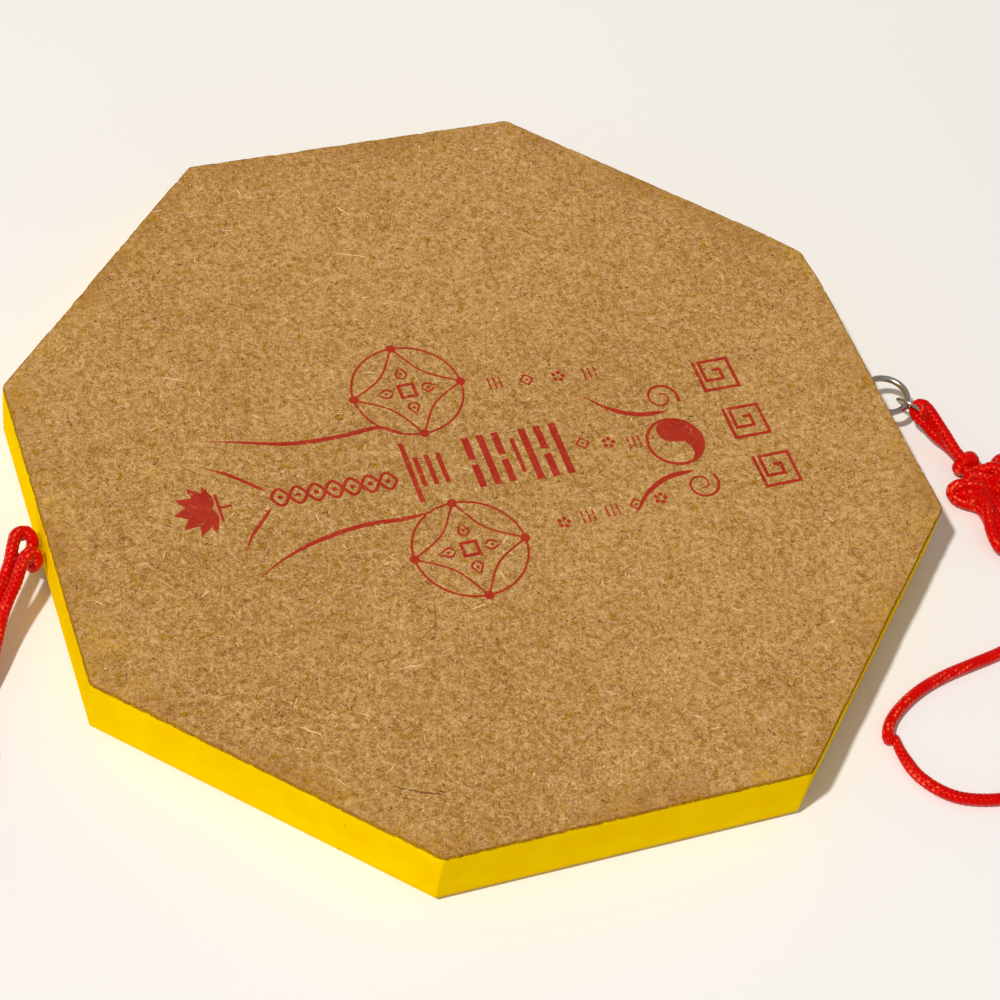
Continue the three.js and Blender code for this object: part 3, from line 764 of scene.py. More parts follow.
def knot_piece(name, node, collar, heading, body, fullness=1.0):
    """The woven knot, with the turn of cord that binds its two legs as its collar."""
    place = knot_frame(collar, heading)
    foot = COLLAR_TO_KNOT - LEG_LENGTH
    route = [(LEG_SPREAD, COLLAR_TO_KNOT, COLLAR_HEIGHT), (LEG_SPREAD, foot, COLLAR_HEIGHT)]
    for degrees in range(KNOT_OPENING, 361 - KNOT_OPENING, 3):
        turn = math.radians(degrees)
        swing = math.cos(3 * turn)
        rise = swing * (1 + KNOT_EAR_ROUNDING * (1 - swing ** 2))
        draw = 1 - KNOT_WAIST * (1 - rise ** 2) ** 2
        x, y = drawn_up(fullness * KNOT_HALF_WIDTH * draw * math.sin(2 * turn),
                        KNOT_HALF_LENGTH * rise)
        route.append((x, y, KNOT_HEIGHT + weave_height(degrees)))
    route += [(-LEG_SPREAD, foot, COLLAR_HEIGHT), (-LEG_SPREAD, COLLAR_TO_KNOT, COLLAR_HEIGHT)]
    parts = [braided(place(curve_through(route)), KNOT_CORD / 2)]
    for radius, inner in KNOT_FILLING:
        line = curve_through([(fullness * x, y, KNOT_HEIGHT + z) for x, y, z in inner])
        parts.append(braided(place(line), radius))
    # The binding turn leans a little and its ends are tucked under
    wrap = []
    for i in range(WRAP_STEPS + 1):
        share = i / WRAP_STEPS
        turn = math.radians(-200 + 560 * share)
        reach = WRAP_REACH - 0.45 * max(0.0, abs(share - 0.5) - 0.36) / 0.14
        wrap.append((reach * math.cos(turn) * 1.08,
                     COLLAR_TO_KNOT - WRAP_LENGTH / 2 + WRAP_LENGTH * share,
                     COLLAR_HEIGHT + reach * math.sin(turn) * 0.98))
    parts.append(braided(place(curve_through(wrap)), WRAP_CORD))
    for side, height, back, radius in WRAP_LUMPS:
        lump = [(side, COLLAR_TO_KNOT + back + shift, height - 0.2 * abs(shift))
                for shift in (-0.35, 0.0, 0.35)]
        parts.append(braided(place(curve_through(lump, 0.1)), radius))
    piece = tube_piece(name, parts, body)
    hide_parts(node)
    return piece


HANGER_COLLAR = (120.3, -21.0)
HANGER_HEADING = math.radians(-69)
TASSEL_COLLAR = (-126.8, -36.0)
TASSEL_HEADING = math.atan2(-0.8211, -0.5708)

hanger_knot = knot_piece("hanger_knot_weave", "hanger_knot", HANGER_COLLAR, HANGER_HEADING,
                         "hanger")
tassel_knot = knot_piece("tassel_knot_weave", "tassel_knot", TASSEL_COLLAR, TASSEL_HEADING,
                         "tassel", 0.84)

# Cords, on the routes of the CAD source, moved a little at their bends and ends

BIGHT = [
    (119.2, -19.6, 4.6), (118.46, -18.09, 4.9), (118.11, -16.35, 5.2), (117.62, -14.41, 5.8),
    (117.07, -12.53, 6.5), (116.37, -10.6, 7.3), (115.64, -8.69, 8.2), (114.86, -6.94, 9.0),
    (114.02, -5.52, 9.3), (112.96, -4.87, 8.9), (112.24, -5.19, 8.0), (112.3, -5.95, 7.0),
    (112.85, -7.0, 6.4), (113.95, -8.5, 5.87), (115.0, -10.05, 4.91), (116.25, -11.75, 4.03),
    (117.47, -13.2, 3.46), (118.5, -14.77, 3.05), (119.2, -16.5, 2.78), (119.8, -18.6, 2.6),
]
BIGHT_MIDDLE = [
    (113.2, -6.2, 9.5), (112.6, -7.5, 10.0), (113.1, -8.2, 9.1), (114.3, -8.5, 7.9),
    (115.45, -9.6, 6.6), (116.3, -11.2, 5.6), (117.3, -13.2, 4.8), (118.2, -15.2, 4.2),
    (119.0, -17.4, 3.8),
]
LOOP_OUTER = [
    (127.3, -43.9, 2.6), (127.6, -46.4, 2.3), (127.5, -51.4, 1.7), (126.4, -57.8, 1.45),
    (122.2, -64.3, 1.45), (115, -69.3, 1.45), (105.8, -72.3, 1.45), (97.3, -73.8, 1.45),
    (89.8, -75.1, 1.45), (83, -77, 1.45), (76.6, -80, 1.45), (71.6, -83.7, 1.45),
    (69.6, -86.8, 1.45), (69.45, -87.8, 1.45),
]
LOOP_INNER = [
    (70.9, -87.7, 1.35), (70.7, -91.2, 1.4), (71.7, -97.4, 1.45), (74.6, -102.2, 1.45),
    (78.1, -105.3, 1.45), (83.2, -107.4, 1.45), (89.9, -108.7, 1.45), (98, -109.7, 1.45),
    (107.5, -109.3, 1.45), (117, -106.3, 1.45), (125, -100.2, 1.45), (131, -91, 1.45),
    (134.4, -80, 1.45), (134.8, -68, 1.45), (133.2, -57, 1.45), (131.6, -49.8, 1.9),
    (130.9, -45.6, 2.4), (130.3, -42.8, 2.6),
]
TASSEL_CORD = [
    (-125.3, -30.7, 3.9), (-122.4, -26.4, 4.5), (-119.4, -22.15, 5.5), (-116.4, -16.8, 6.9),
    (-113.1, -11.1, 8.7), (-110.1, -5.6, 9.9), (-108.0, -1.9, 10.8), (-106.3, 2.0, 12.0),
    (-105.1, 3.9, 12.6), (-103.0, 4.0, 12.5), (-102.05, 2.5, 11.5), (-102.4, 1.4, 9.8),
    (-103.5, 0.8, 7.9), (-103.3, -1.2, 7.4), (-103.0, -2.7, 8.8), (-102.1, -2.5, 10.7),
    (-102.8, -1.9, 12.6), (-104.5, -2.7, 13.3), (-105.8, -4.2, 12.6), (-107.9, -7.8, 11.4),
    (-110.4, -11.2, 10.2), (-112.6, -14.6, 8.6), (-114.3, -17.9, 6.7), (-116.6, -22.5, 4.9),
    (-119.6, -27.4, 3.9), (-122.5, -32.1, 3.4),
]

collar_top = (*HANGER_COLLAR, COLLAR_HEIGHT + STRAND_SPREAD * 0.7)
collar_under = (*HANGER_COLLAR, COLLAR_HEIGHT - STRAND_SPREAD * 0.7)
bight, line = cord_piece("hanger_bight_cord", [collar_top, *BIGHT, collar_under], "hanger",
                         pressed=BIGHT_MIDDLE)
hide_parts("hanger_bight")
length_of(line)

outer, line = cord_piece("hanger_loop_outer_cord", LOOP_OUTER, "hanger")
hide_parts("hanger_loop_outer")
length_of(line)

inner, line = cord_piece("hanger_loop_inner_cord", LOOP_INNER, "hanger", thin_start=0.42)
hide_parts("hanger_loop_inner")
length_of(line)

aside = np.array([math.sin(TASSEL_HEADING), -math.cos(TASSEL_HEADING)]) * STRAND_SPREAD
first_end = (*(np.array(TASSEL_COLLAR) + aside), COLLAR_HEIGHT + 0.4)
last_end = (*(np.array(TASSEL_COLLAR) - aside), COLLAR_HEIGHT + 0.4)
hitch, line = cord_piece("tassel_hitch_cord", [first_end, *TASSEL_CORD, last_end], None)
rows((-107, -4, 9))[0]
rows((-112, -14, 9))[0]
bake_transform(hitch)
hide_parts("tassel_cord")
length_of(line)


# Tassel, with its places from the collar as in CAD

KNOT_FOOT = 23.6
STEM = 8.0
HEAD_START = 31.9
HEAD = 12.0
HEAD_RADIUS = 4.6
SKIRT_START = 44.2
SKIRT = 80.0
SKIRT_START_RADIUS = 4.4
SKIRT_END_HALF_WIDTH = 12.0
SKIRT_END_HALF_HEIGHT = 3.2
SKIRT_SWELL = 0.8


def along_tassel(points):
    """Millimetres along the tassel from its collar, aside and up, in the board's frame."""
    points = np.array(points, float).reshape(-1, 3)
    ahead = np.array([math.cos(TASSEL_HEADING), math.sin(TASSEL_HEADING)])
    across = np.array([-ahead[1], ahead[0]])
    flat = np.array(TASSEL_COLLAR) + points[:, :1] * ahead + points[:, 1:2] * across
    return np.column_stack([flat, points[:, 2]])


def tassel_stem(name, node, aside_mm):
    """One of the two strands between the knot and the head."""
    route = along_tassel([
        (KNOT_FOOT - 0.6, aside_mm, KNOT_HEIGHT), (KNOT_FOOT + STEM * 0.5, aside_mm, 3.5),
        (HEAD_START + 0.9, aside_mm * 0.8, HEAD_RADIUS),
    ])
    piece = tube_piece(name, [braided(curve_through(route))], "tassel")
    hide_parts(node)


def tassel_head():
    """A skein bound with turns of thread."""
    thread, turns, steps, slices = 0.46, 12, 24, 12

    def bulge(share):
        return HEAD_RADIUS * (0.78 + 0.22 * math.sin(math.pi * min(1.0, 0.25 + share)))

    coil = []
    for i in range(turns * steps + 1):
        share = i / (turns * steps)
        turn = 2 * math.pi * turns * share
        reach = bulge(share) - thread
        coil.append((HEAD_START + thread + share * (HEAD - 2 * thread), reach * math.cos(turn),
                     HEAD_RADIUS + reach * math.sin(turn)))
    core = [(HEAD_START + HEAD * i / slices, 0, HEAD_RADIUS) for i in range(slices + 1)]
    radii = [bulge(i / slices) - 1.3 * thread for i in range(slices + 1)]
    parts = [tube(along_tassel(coil), thread, 10),
             tube(along_tassel(core), radii, 32, round_ends=False)]
    piece = tube_piece("tassel_bound_head", parts, "tassel", THREAD)
    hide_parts("tassel_head")


def skirt_half(share):
    """Half the skirt's width and height at a share of its length."""
    swell = math.sin(math.pi / 2 * share) ** SKIRT_SWELL if share > 0 else 0.0
    return (between(SKIRT_START_RADIUS, SKIRT_END_HALF_WIDTH, swell),
            between(SKIRT_START_RADIUS, SKIRT_END_HALF_HEIGHT, swell))


def tassel_skirt():
    """Threads laid side by side in two layers over a thinner body of threads."""
    chance = random.Random(11)
    thread, count, steps = 0.30, 116, 12
    parts = []
    for layer in (1.0, 0.86):
        for k in range(count):
            turn = 2 * math.pi * (k + 0.5 * (layer < 1)) / count
            drift = chance.uniform(-0.10, 0.10)
            wave = chance.uniform(-0.03, 0.03)
            end = 1.0 - chance.uniform(0.0, 0.022)
            line = []
            for i in range(steps + 1):
                share = end * i / steps
                wide, high = skirt_half(share)
                angle = turn + drift * share ** 2 + wave * math.sin(7 * share + k)
                reach = layer * (1 - 0.05 * share * chance.random())
                line.append((SKIRT_START + share * SKIRT,
                             (wide - thread) * reach * math.cos(angle),
                             high + (high - thread) * reach * math.sin(angle)))
            parts.append(tube(along_tassel(line), thread, 6, round_ends=False))
    rings, sides, body = 17, 40, 0.80
    shares = [0.985 * i / (rings - 1) for i in range(rings)]
    core = [(SKIRT_START + share * SKIRT, 0, skirt_half(share)[1]) for share in shares]
    points, faces, uv = tube(np.array(core), 1.0, sides, round_ends=False)
    for i, share in enumerate(shares):
        wide, high = skirt_half(share)
        ring = points[i * sides:(i + 1) * sides]
        ring[:, 1] *= body * wide
        ring[:, 2] = high + (ring[:, 2] - high) * body * high
    parts.append((along_tassel(points), faces, uv))
    piece = tube_piece("tassel_skirt_threads", parts, "tassel", THREAD)
    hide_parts("tassel_skirt")


tassel_stem("tassel_stem_left_cord", "tassel_stem_left", STRAND_SPREAD)
tassel_stem("tassel_stem_right_cord", "tassel_stem_right", -STRAND_SPREAD)
tassel_head()
tassel_skirt()


# Metal

SHANK = 14.0
SHANK_POINT = 3.0
SCREW_THREAD = 0.14
SCREW_TURNS = 9


def screw_eye(name, node, centre, side, wire, outer):
    """One wire bent to an eye, whose other end is the threaded shank."""
    ring = outer / 2 - wire
    route = []
    for degrees in range(-147, 163, 9):
        turn = math.radians(degrees)
        route.append((ring * math.cos(turn), ring * math.sin(turn), 0))
    route.append((-ring * 1.02, ring * 0.13, 0))
    route.append((-outer / 2 - 0.5, 0.02, 0))
    route.append((-outer / 2 - 2.4, 0, 0))
    core = wire + 0.06
    shank, radii = [], []
    for i in range(141):
        share = i / 140
        shank.append((-outer / 2 - FIT_GAP - share * SHANK, 0, 0))
        radii.append(core * min(1.0, (1 - share) * SHANK / SHANK_POINT + 0.05))
    thread = []
    for i in range(220):
        share = i / 219
        turn = share * 2 * math.pi * SCREW_TURNS
        reach = (core - 0.02) * min(1.0, (1 - share) * 10.5 / 2.6 + 0.15)
        thread.append((-outer / 2 - FIT_GAP - 3.2 - share * 10.3, reach * math.cos(turn),
                       reach * math.sin(turn)))
    parts = [tube(curve_through(route, 0.3), wire, 20),
             tube(np.array(shank), radii, 20, round_ends=False),
             tube(np.array(thread), SCREW_THREAD, 6)]
    parts = [(points * (side, side, 1) + centre, faces, uv) for points, faces, uv in parts]
    piece = tube_piece(name, parts, "root", METAL)
    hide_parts(node)


# Middles of the eyes' rings
TOP_EYE = np.array([APOTHEM + FIT_GAP + 6.2, 0.0, 8.5])
BOTTOM_EYE = np.array([-APOTHEM - FIT_GAP - 3.3, 2.0, 9.6])
screw_eye("top_eye_wire", "top_screw_eye", TOP_EYE, 1, 0.8, 12.4)
screw_eye("bottom_eye_wire", "bottom_screw_eye", BOTTOM_EYE, -1, 0.6, 6.6)


def jump_ring():
    """A ring of thin wire with a slit, which leans in the top eye."""
    turn, dip, roll = (math.radians(a) for a in (-43.5, 11.5, 34.5))
    level = np.array([math.cos(turn), math.sin(turn), 0])
    across = np.array([-math.sin(turn), math.cos(turn), 0])
    along = level * math.cos(dip) - np.array([0, 0, math.sin(dip)])
    normal = across * math.cos(roll) + np.cross(along, across) * math.sin(roll)
    side = np.cross(normal, along)
    radius, wire, steps = 3.5, 0.4, 60
    slit = 0.35 / radius
    centre = TOP_EYE + level * 5.4 + along * 1.1
    route = []
    for i in range(steps + 1):
        angle = math.radians(109) + slit + i / steps * (2 * math.pi - slit)
        route.append(centre + along * radius * math.cos(angle) + side * radius * math.sin(angle))
    line = even(np.array(route), 0.25)
    piece = tube_piece("jump_ring_wire", [tube(line, wire, 16, round_ends=False)], "hanger",
                       METAL)
    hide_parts("jump_ring")


jump_ring()


# Board

CORNER = 0.6
WORN_CORNER = 2.4
# A worn corner of the back: its middle, how far it reaches and how deep it is
WORN = (100.3, 40.7, 5.5, 0.75)
# The CAD's own faces are kept up to this height, and inside the pocket's radius
FRONT_TOP = 3.01
POCKET_REACH = 43.2
# Width of the front's rounded edge
FRONT_EDGE = 3.05
# Shell from the back down: how far inside the outline, height, and share of the wear
PROFILE = (
    (0.58, 18.0, 0.0), (0.42, 17.99, 0.3), (0.22, 17.93, 0.8), (0.07, 17.78, 1.0),
    (0.0, 17.5, 0.5), (0.0, 17.0, 0.15), (0.0, 15.0, 0.0), (0.0, 11.0, 0.0), (0.0, 7.0, 0.0),
    (0.0, 3.0, 0.0),
)
# Kinds of faces. The first three are places in the board's list of materials, and the
# back's has the side's material.
SIDE_FACE, FRONT_FACE, POCKET_FACE, BACK_FACE = range(4)


def octagon_outline(corner):
    """The octagon with round corners, cut to short steps: points and ways out."""
    points, outward = [], []
    corner_reach = (APOTHEM - corner) / math.cos(math.pi / 8)
    half_side = (APOTHEM - corner) * math.tan(math.pi / 8)
    steps = 92
    for place in range(8):
        turn = place * math.pi / 4
        out = np.array([math.cos(turn), math.sin(turn)])
        along = np.array([-math.sin(turn), math.cos(turn)])
        for k in range(steps + 1):
            points.append(out * APOTHEM + along * half_side * (2 * k / steps - 1))
            outward.append(out)
        bend = turn + math.pi / 8
        centre = corner_reach * np.array([math.cos(bend), math.sin(bend)])
        for k in range(1, 5):
            bend = turn + k * math.pi / 20
            way = np.array([math.cos(bend), math.sin(bend)])
            points.append(centre + way * corner)
            outward.append(way)
    return np.array(points), np.array(outward)


def front_faces(co):
    """The CAD's own faces of the front and the pocket, and their kinds."""
    faces, kinds = [], []
    turns = np.array(QUARTERS)[:, None]
    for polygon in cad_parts["plaque"].data.polygons:
        x, y, height = co[list(polygon.vertices)].T
        inner = np.hypot(x, y).max() < POCKET_REACH
        if height.max() > FRONT_TOP and not inner:
            continue
        faces.append(tuple(polygon.vertices))
        if inner and height.max() > 1.0:
            kinds.append(POCKET_FACE)
        else:
            reach = np.abs(x * np.cos(turns) + y * np.sin(turns)).max(axis=0)
            kinds.append(SIDE_FACE if reach.min() > APOTHEM - FRONT_EDGE else FRONT_FACE)
    return faces, kinds


def ragged_edge(count):
    """How deep the back's edge is torn at each point of the outline, with a few nicks."""
    chance = random.Random(5)
    ragged, value = [], 0.0
    for _ in range(count):
        value = 0.72 * value + chance.gauss(0, 0.07)
        nick = chance.random() < 0.018
        ragged.append(value + (chance.uniform(0.15, 0.45) if nick else 0.0))
    # The last points run into the first
    return np.array(ragged) * np.array([1.0] * (count - 3) + [0.6, 0.4, 0.2])


def board():
    """Front and pocket from the CAD's own faces, and a finer shell for the sides and back."""
    co = np.array([v.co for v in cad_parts["plaque"].data.vertices]) / MM
    co[:, 0] -= BOARD_X
    points = [tuple(p) for p in co]
    faces, kinds = front_faces(co)
    outline, outward = octagon_outline(CORNER)
    back_outline, _ = octagon_outline(WORN_CORNER)
    base, count = len(points), len(outline)
    ragged = ragged_edge(count)
    worn_x, worn_y, worn_reach, worn_deep = WORN
    worn = np.hypot(outline[:, 0] - worn_x, outline[:, 1] - worn_y) / worn_reach
    for inset, height, wear in PROFILE:
        away = inset + wear * np.maximum(ragged + 0.06, 0.0)
        away += worn_deep * np.exp(-worn ** 2) * np.clip((height - 12.0) / 5.0, 0.0, 1.0)
        # Only the upper part has the back's rounder corners
        share = min(max((height - 14.5) / 3.0, 0.0), 1.0)
        spot = outline * (1 - share) + back_outline * share - outward * away[:, None]
        drop = wear * 0.5 * np.maximum(ragged, 0.0)
        points += [(x, y, height - down) for (x, y), down in zip(spot, drop)]
    shell = ring_faces(len(PROFILE), count, base, turned=True)
    middle = len(points)
    points.append((0.0, 0.0, THICKNESS))
    back = [(middle, base + k, base + (k + 1) % count) for k in range(count)]
    faces += shell + back
    kinds += [SIDE_FACE] * len(shell) + [BACK_FACE] * len(back)
    piece = add_piece("plaque_board", rows(points), faces, "root", BOARD,
                      smooth=False)
    piece.data.materials.append(FRONT)
    piece.data.materials.append(POCKET)
    for polygon, kind in zip(piece.data.polygons, kinds):
        polygon.material_index = kind % BACK_FACE
        polygon.use_smooth = kind == SIDE_FACE
    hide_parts("plaque")


board()

# The convex mirror: radius, rise from rim to middle, inset of its middle and thickness
MIRROR_RADIUS = 42.0
MIRROR_RISE = 4.4
MIRROR_INSET = 0.8
MIRROR_THICKNESS = 2.0


def glass_cap():
    """The convex mirror, turned finely."""
    steps, sides = 24, 128
    sphere = (MIRROR_RADIUS ** 2 + MIRROR_RISE ** 2) / (2 * MIRROR_RISE)
    front = []
    for i in range(1, steps + 1):
        r = MIRROR_RADIUS * i / steps
        front.append((r, MIRROR_INSET + sphere - math.sqrt(sphere ** 2 - r ** 2)))
    profile = front + [(r, z + MIRROR_THICKNESS) for r, z in reversed(front)]
    points = [(r * math.cos(2 * math.pi * k / sides), r * math.sin(2 * math.pi * k / sides), z)
              for r, z in profile for k in range(sides)]
    faces = ring_faces(len(profile), sides, turned=True)
    faces.append(tuple(range(sides)))
    last = (len(profile) - 1) * sides
    faces.append(tuple(last + k for k in range(sides))[::-1])
    piece = add_piece("mirror_glass_cap", rows(points), faces, "root", GLASS)
    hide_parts("mirror_glass")


glass_cap()
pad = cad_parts["mirror_pad"]
pad.data.materials.clear()
pad.data.materials.append(FOAM)


# Print on the back, in millimetres from the octagon's middle

# How much higher each shape lies than the last, so that none share a plane
INK_STEP = 0.0001


class Print:
    """Flat shapes of ink or fibre just over the back."""

    def __init__(self, height):
        self.height = height
        self.points = []
        self.faces = []

    def polygon(self, corners):
        base = len(self.points)
        self.points += [(x, y, self.height) for x, y in corners]
        area = sum(a[0] * b[1] - b[0] * a[1] for a, b in zip(corners, [*corners[1:], corners[0]]))
        order = range(len(corners)) if area > 0 else reversed(range(len(corners)))
        self.faces.append(tuple(base + i for i in order))
        self.height += INK_STEP

    def stroke(self, points, width, closed=False):
        """A line of a width, or of a width for each of its points."""
        p = np.array(points, float)
        half = np.broadcast_to(np.asarray(width, float) / 2, len(p))
        if closed:
            ahead = np.roll(p, -1, 0) - np.roll(p, 1, 0)
        else:
            ahead = np.gradient(p, axis=0)
        ahead = ahead / np.maximum(np.linalg.norm(ahead, axis=1), 1e-9)[:, None]
        side = np.column_stack([-ahead[:, 1], ahead[:, 0]]) * half[:, None]
        base, count = len(self.points), len(p)
        for a, b in zip(p + side, p - side):
            self.points += [(*a, self.height), (*b, self.height)]
        for i in range(count if closed else count - 1):
            j = (i + 1) % count
            a, b = base + 2 * i, base + 2 * j
            self.faces.append((a, a + 1, b + 1, b))
        self.height += INK_STEP

    def line(self, *points, width):
        """Straight parts, each longer by half a width at both ends, so that corners close."""
        for a, b in zip(points[:-1], points[1:]):
            a, b = np.array(a, float), np.array(b, float)
            ahead = (b - a) / np.linalg.norm(b - a) * width / 2
            self.stroke([a - ahead, b + ahead], width)

    def disc(self, centre, radius, sides=20):
        turns = [2 * math.pi * i / sides for i in range(sides)]
        self.polygon([on_circle(centre, radius, t) for t in turns])

    def ring(self, centre, radius, width):
        turns = [2 * math.pi * i / 72 for i in range(72)]
        self.stroke([on_circle(centre, radius, t) for t in turns], width, closed=True)


def bent(points):
    """A smooth line through flat points."""
    return curve_through([(x, y, 0) for x, y in points], 0.4)[:, :2]


def brush(art, points, most):
    """A brush stroke: thin where it starts, full in its middle, and drawn out at its end."""
    line = bent(points)
    share = np.linspace(0, 1, len(line))
    width = most * np.minimum(1, np.minimum(0.25 + share * 5, 0.12 + (1 - share) * 2.2))
    art.stroke(line, width)


def turned_about(x, y, turn):
    """Puts points of an ornament, turned, round x, y."""
    c, s = math.cos(turn), math.sin(turn)
    return lambda u, v: (x + u * c - v * s, y + u * s + v * c)


def coin(art, x, y):
    """Roundel: a circle with four studs, arcs between them, and a coin's square hole."""
    radius, half = 13.0, 1.75
    art.ring((x, y), radius, 0.55)
    studs = [on_circle((x, y), radius, t) for t in (0, math.pi / 2, math.pi, -math.pi / 2)]
    for stud in studs:
        art.disc(stud, 1.15)
    for a, b in zip(studs, [*studs[1:], studs[0]]):
        middle = ((a[0] + b[0]) / 2, (a[1] + b[1]) / 2)
        sunk = (between(middle[0], x, 0.22), between(middle[1], y, 0.22))
        art.stroke(bent([a, sunk, b]), 0.5)
    art.line((x - half, y - half), (x + half, y - half), (x + half, y + half),
             (x - half, y + half), (x - half, y - half), width=0.85)
    # A leaf scroll on each side of the hole
    for quarter in range(4):
        at = turned_about(x, y, quarter * math.pi / 2)
        for side in (1, -1):
            leaf = [at(3.4, 0), at(4.7, 1.25 * side), at(6.3, 0.55 * side), at(7.6, 0.0)]
            brush(art, leaf, 0.55)
        art.disc(at(5.2, 0), 0.38, 10)


def trigram(art, x, y, lines, wide, pitch, width):
    """Three bars across the print's length, whole or broken."""
    low, high, gap = y - wide / 2 + width / 2, y + wide / 2 - width / 2, wide * 0.11
    for row, whole in enumerate(lines):
        u = x + (row - 1) * pitch
        if whole == "1":
            art.line((u, low), (u, high), width=width)
        else:
            art.line((u, low), (u, y - gap), width=width)
            art.line((u, y + gap), (u, high), width=width)


def fret(art, x, y):
    """A square key scroll."""
    size, width = 8.6, 0.85
    h, k = size / 2, size / 6
    art.line((x - h, y - h), (x + h, y - h), (x + h, y + h), (x - h + k, y + h),
             (x - h + k, y - h + 2 * k), (x + h - 2 * k, y - h + 2 * k),
             (x + h - 2 * k, y + h - 2 * k), (x, y + h - 2 * k), width=width)
    art.line((x - h, y - h), (x - h, y + h), width=width)


def cloud(art, x, y, flip):
    """A scrolled cloud head."""
    curl = []
    for i in range(30):
        turn = math.radians(-30 + 17 * i)
        reach = 8.2 * (0.52 - 0.014 * i)
        curl.append((x + reach * math.cos(turn), y + flip * reach * math.sin(turn)))
    art.stroke(curl, np.linspace(0.75, 0.35, len(curl)))


def lotus(art, x, y):
    """A side view of a lotus that opens towards -X. Petals have a turn, a reach and a width."""
    for turn, reach, fat in ((0, 8.6, 2.5), (30, 8.4, 2.3), (-30, 8.4, 2.3), (60, 7.9, 1.9),
                             (-60, 7.9, 1.9), (85, 6.8, 1.4), (-85, 6.8, 1.4)):
        at = turned_about(x, y, math.pi + math.radians(turn))
        edge = []
        for i in range(17):
            share = i / 16
            half = fat * math.sin(math.pi * share ** 0.75) * (1 - 0.25 * share)
            edge.append((share * reach, half))
        edge += [(u, -v) for u, v in edge[-2:0:-1]]
        art.polygon([at(u, v) for u, v in edge])
    art.line((x - 0.2, y - 5.2), (x - 0.2, y + 5.2), width=1.0)
    art.line((x + 1.7, y - 3.4), (x + 1.7, y + 3.4), width=0.7)
    art.line((x + 1.7, y), (x + 4.2, y), width=0.7)


def rope(art, x0, x1, y0, y1, loops):
    """Two strands that cross at even steps, with an eye in each loop."""
    steps = loops * 16
    for sign in (1, -1):
        line = []
        for i in range(steps + 1):
            share = i / steps
            swing = 2.3 * math.sin(math.pi * loops * share) * sign
            line.append((between(x0, x1, share), between(y0, y1, share) + swing))
        art.stroke(line, 0.75)
    for k in range(loops):
        share = (k + 0.5) / loops
        art.disc((between(x0, x1, share), between(y0, y1, share)), 0.62, 12)


def whirl(art, x, y, radius):
    """Two fishes in a circle: one is inked, the other is bare."""
    art.ring((x, y), radius, 0.8)
    half = radius / 2
    edge = [on_circle((x, y), radius, -math.pi / 2 + math.pi * i / 32) for i in range(33)]
    for i in range(1, 25):
        turn = math.pi / 2 - math.pi * i / 24
        edge.append((x - half * math.cos(turn), y + half + half * math.sin(turn)))
    for i in range(1, 24):
        turn = math.pi / 2 + math.pi * i / 24
        edge.append((x - half * math.cos(turn), y - half + half * math.sin(turn)))
    art.polygon(edge)
    art.disc((x - radius * 0.05, y + half), radius * 0.14, 14)


def small_mark(art, x, y, kind):
    """One small ornament of a row: a trigram, a diamond, a blossom or a trigram again."""
    size, width = 1.6, 0.42
    if kind == 1:
        art.line((x - size, y), (x, y + size), (x + size, y), (x, y - size), (x - size, y),
                 width=width)
        art.disc((x, y), 0.35, 8)
    elif kind == 2:
        for k in range(5):
            art.disc(on_circle((x, y), 1.15, 2 * math.pi * k / 5), 0.55, 10)
    else:
        trigram(art, x, y, "010" if kind else "101", 3.4, 1.35, width)


def back_print():
    """The whole print, from the lotus to the fret squares."""
    art = Print(THICKNESS + 0.02)
    coin(art, -10.7, 19.8)
    coin(art, -11.0, -26.8)
    lotus(art, -63.5, -3.2)
    rope(art, -50, -21, -3.4, -4.6, 7)
    # Long ribbons that open towards the lotus
    brush(art, [(-16, 8.2), (-20, 10.6), (-30, 10.2), (-42, 10.8), (-52, 13.5), (-60, 15.6)], 1.15)
    brush(art, [(-16, -15.0), (-22, -15.6), (-32, -15.2), (-44, -17.2), (-53, -20.6),
                (-58, -23.6)], 1.15)
    brush(art, [(-50.5, -1.2), (-54, 2.2), (-58, 5.6), (-63, 8.8)], 0.8)
    brush(art, [(-50.5, -5.8), (-54, -9.4), (-57, -12.6), (-59, -16.0)], 0.8)
    # Three large signs, with a bar before them and one between two of them
    trigram(art, -12.5, -3.6, "111", 8.6, 2.7, 1.15)
    art.line((-17.2, -11.5), (-17.2, 4.6), width=1.2)
    trigram(art, 1.2, -3.8, "010", 14.5, 3.6, 1.7)
    trigram(art, 15.0, -4.4, "101", 15.0, 3.7, 1.75)
    art.line((8.2, -8.6), (8.2, 0.4), width=1.0)
    # Whirl between two cloud scrolls
    middle = -8.6
    whirl(art, 45.5, middle, 6.6)
    for flip in (1, -1):
        cloud(art, 47.0, middle + flip * 13.2, flip)
        brush(art, [(46.5, middle + flip * 9.0), (40, middle + flip * 9.5),
                    (34, middle + flip * 12.5), (29, middle + flip * 17.5)], 1.25)
    for x, y in ((62.6, 8.4), (64.4, -6.6), (66.0, -21.6)):
        fret(art, x, y)
    # Rows of small marks
    for row, (x0, x1, y0, y1, count) in enumerate((
        (10, 33, 17.5, 15.5, 4), (24, 36, -4.2, -6.6, 3), (12, 36, -24.8, -23.4, 5),
    )):
        for k in range(count):
            share = k / (count - 1)
            small_mark(art, between(x0, x1, share), between(y0, y1, share), (k + row) % 4)
    add_piece("back_print_ink", rows(art.points), art.faces, "root", INK, smooth=False)


back_print()


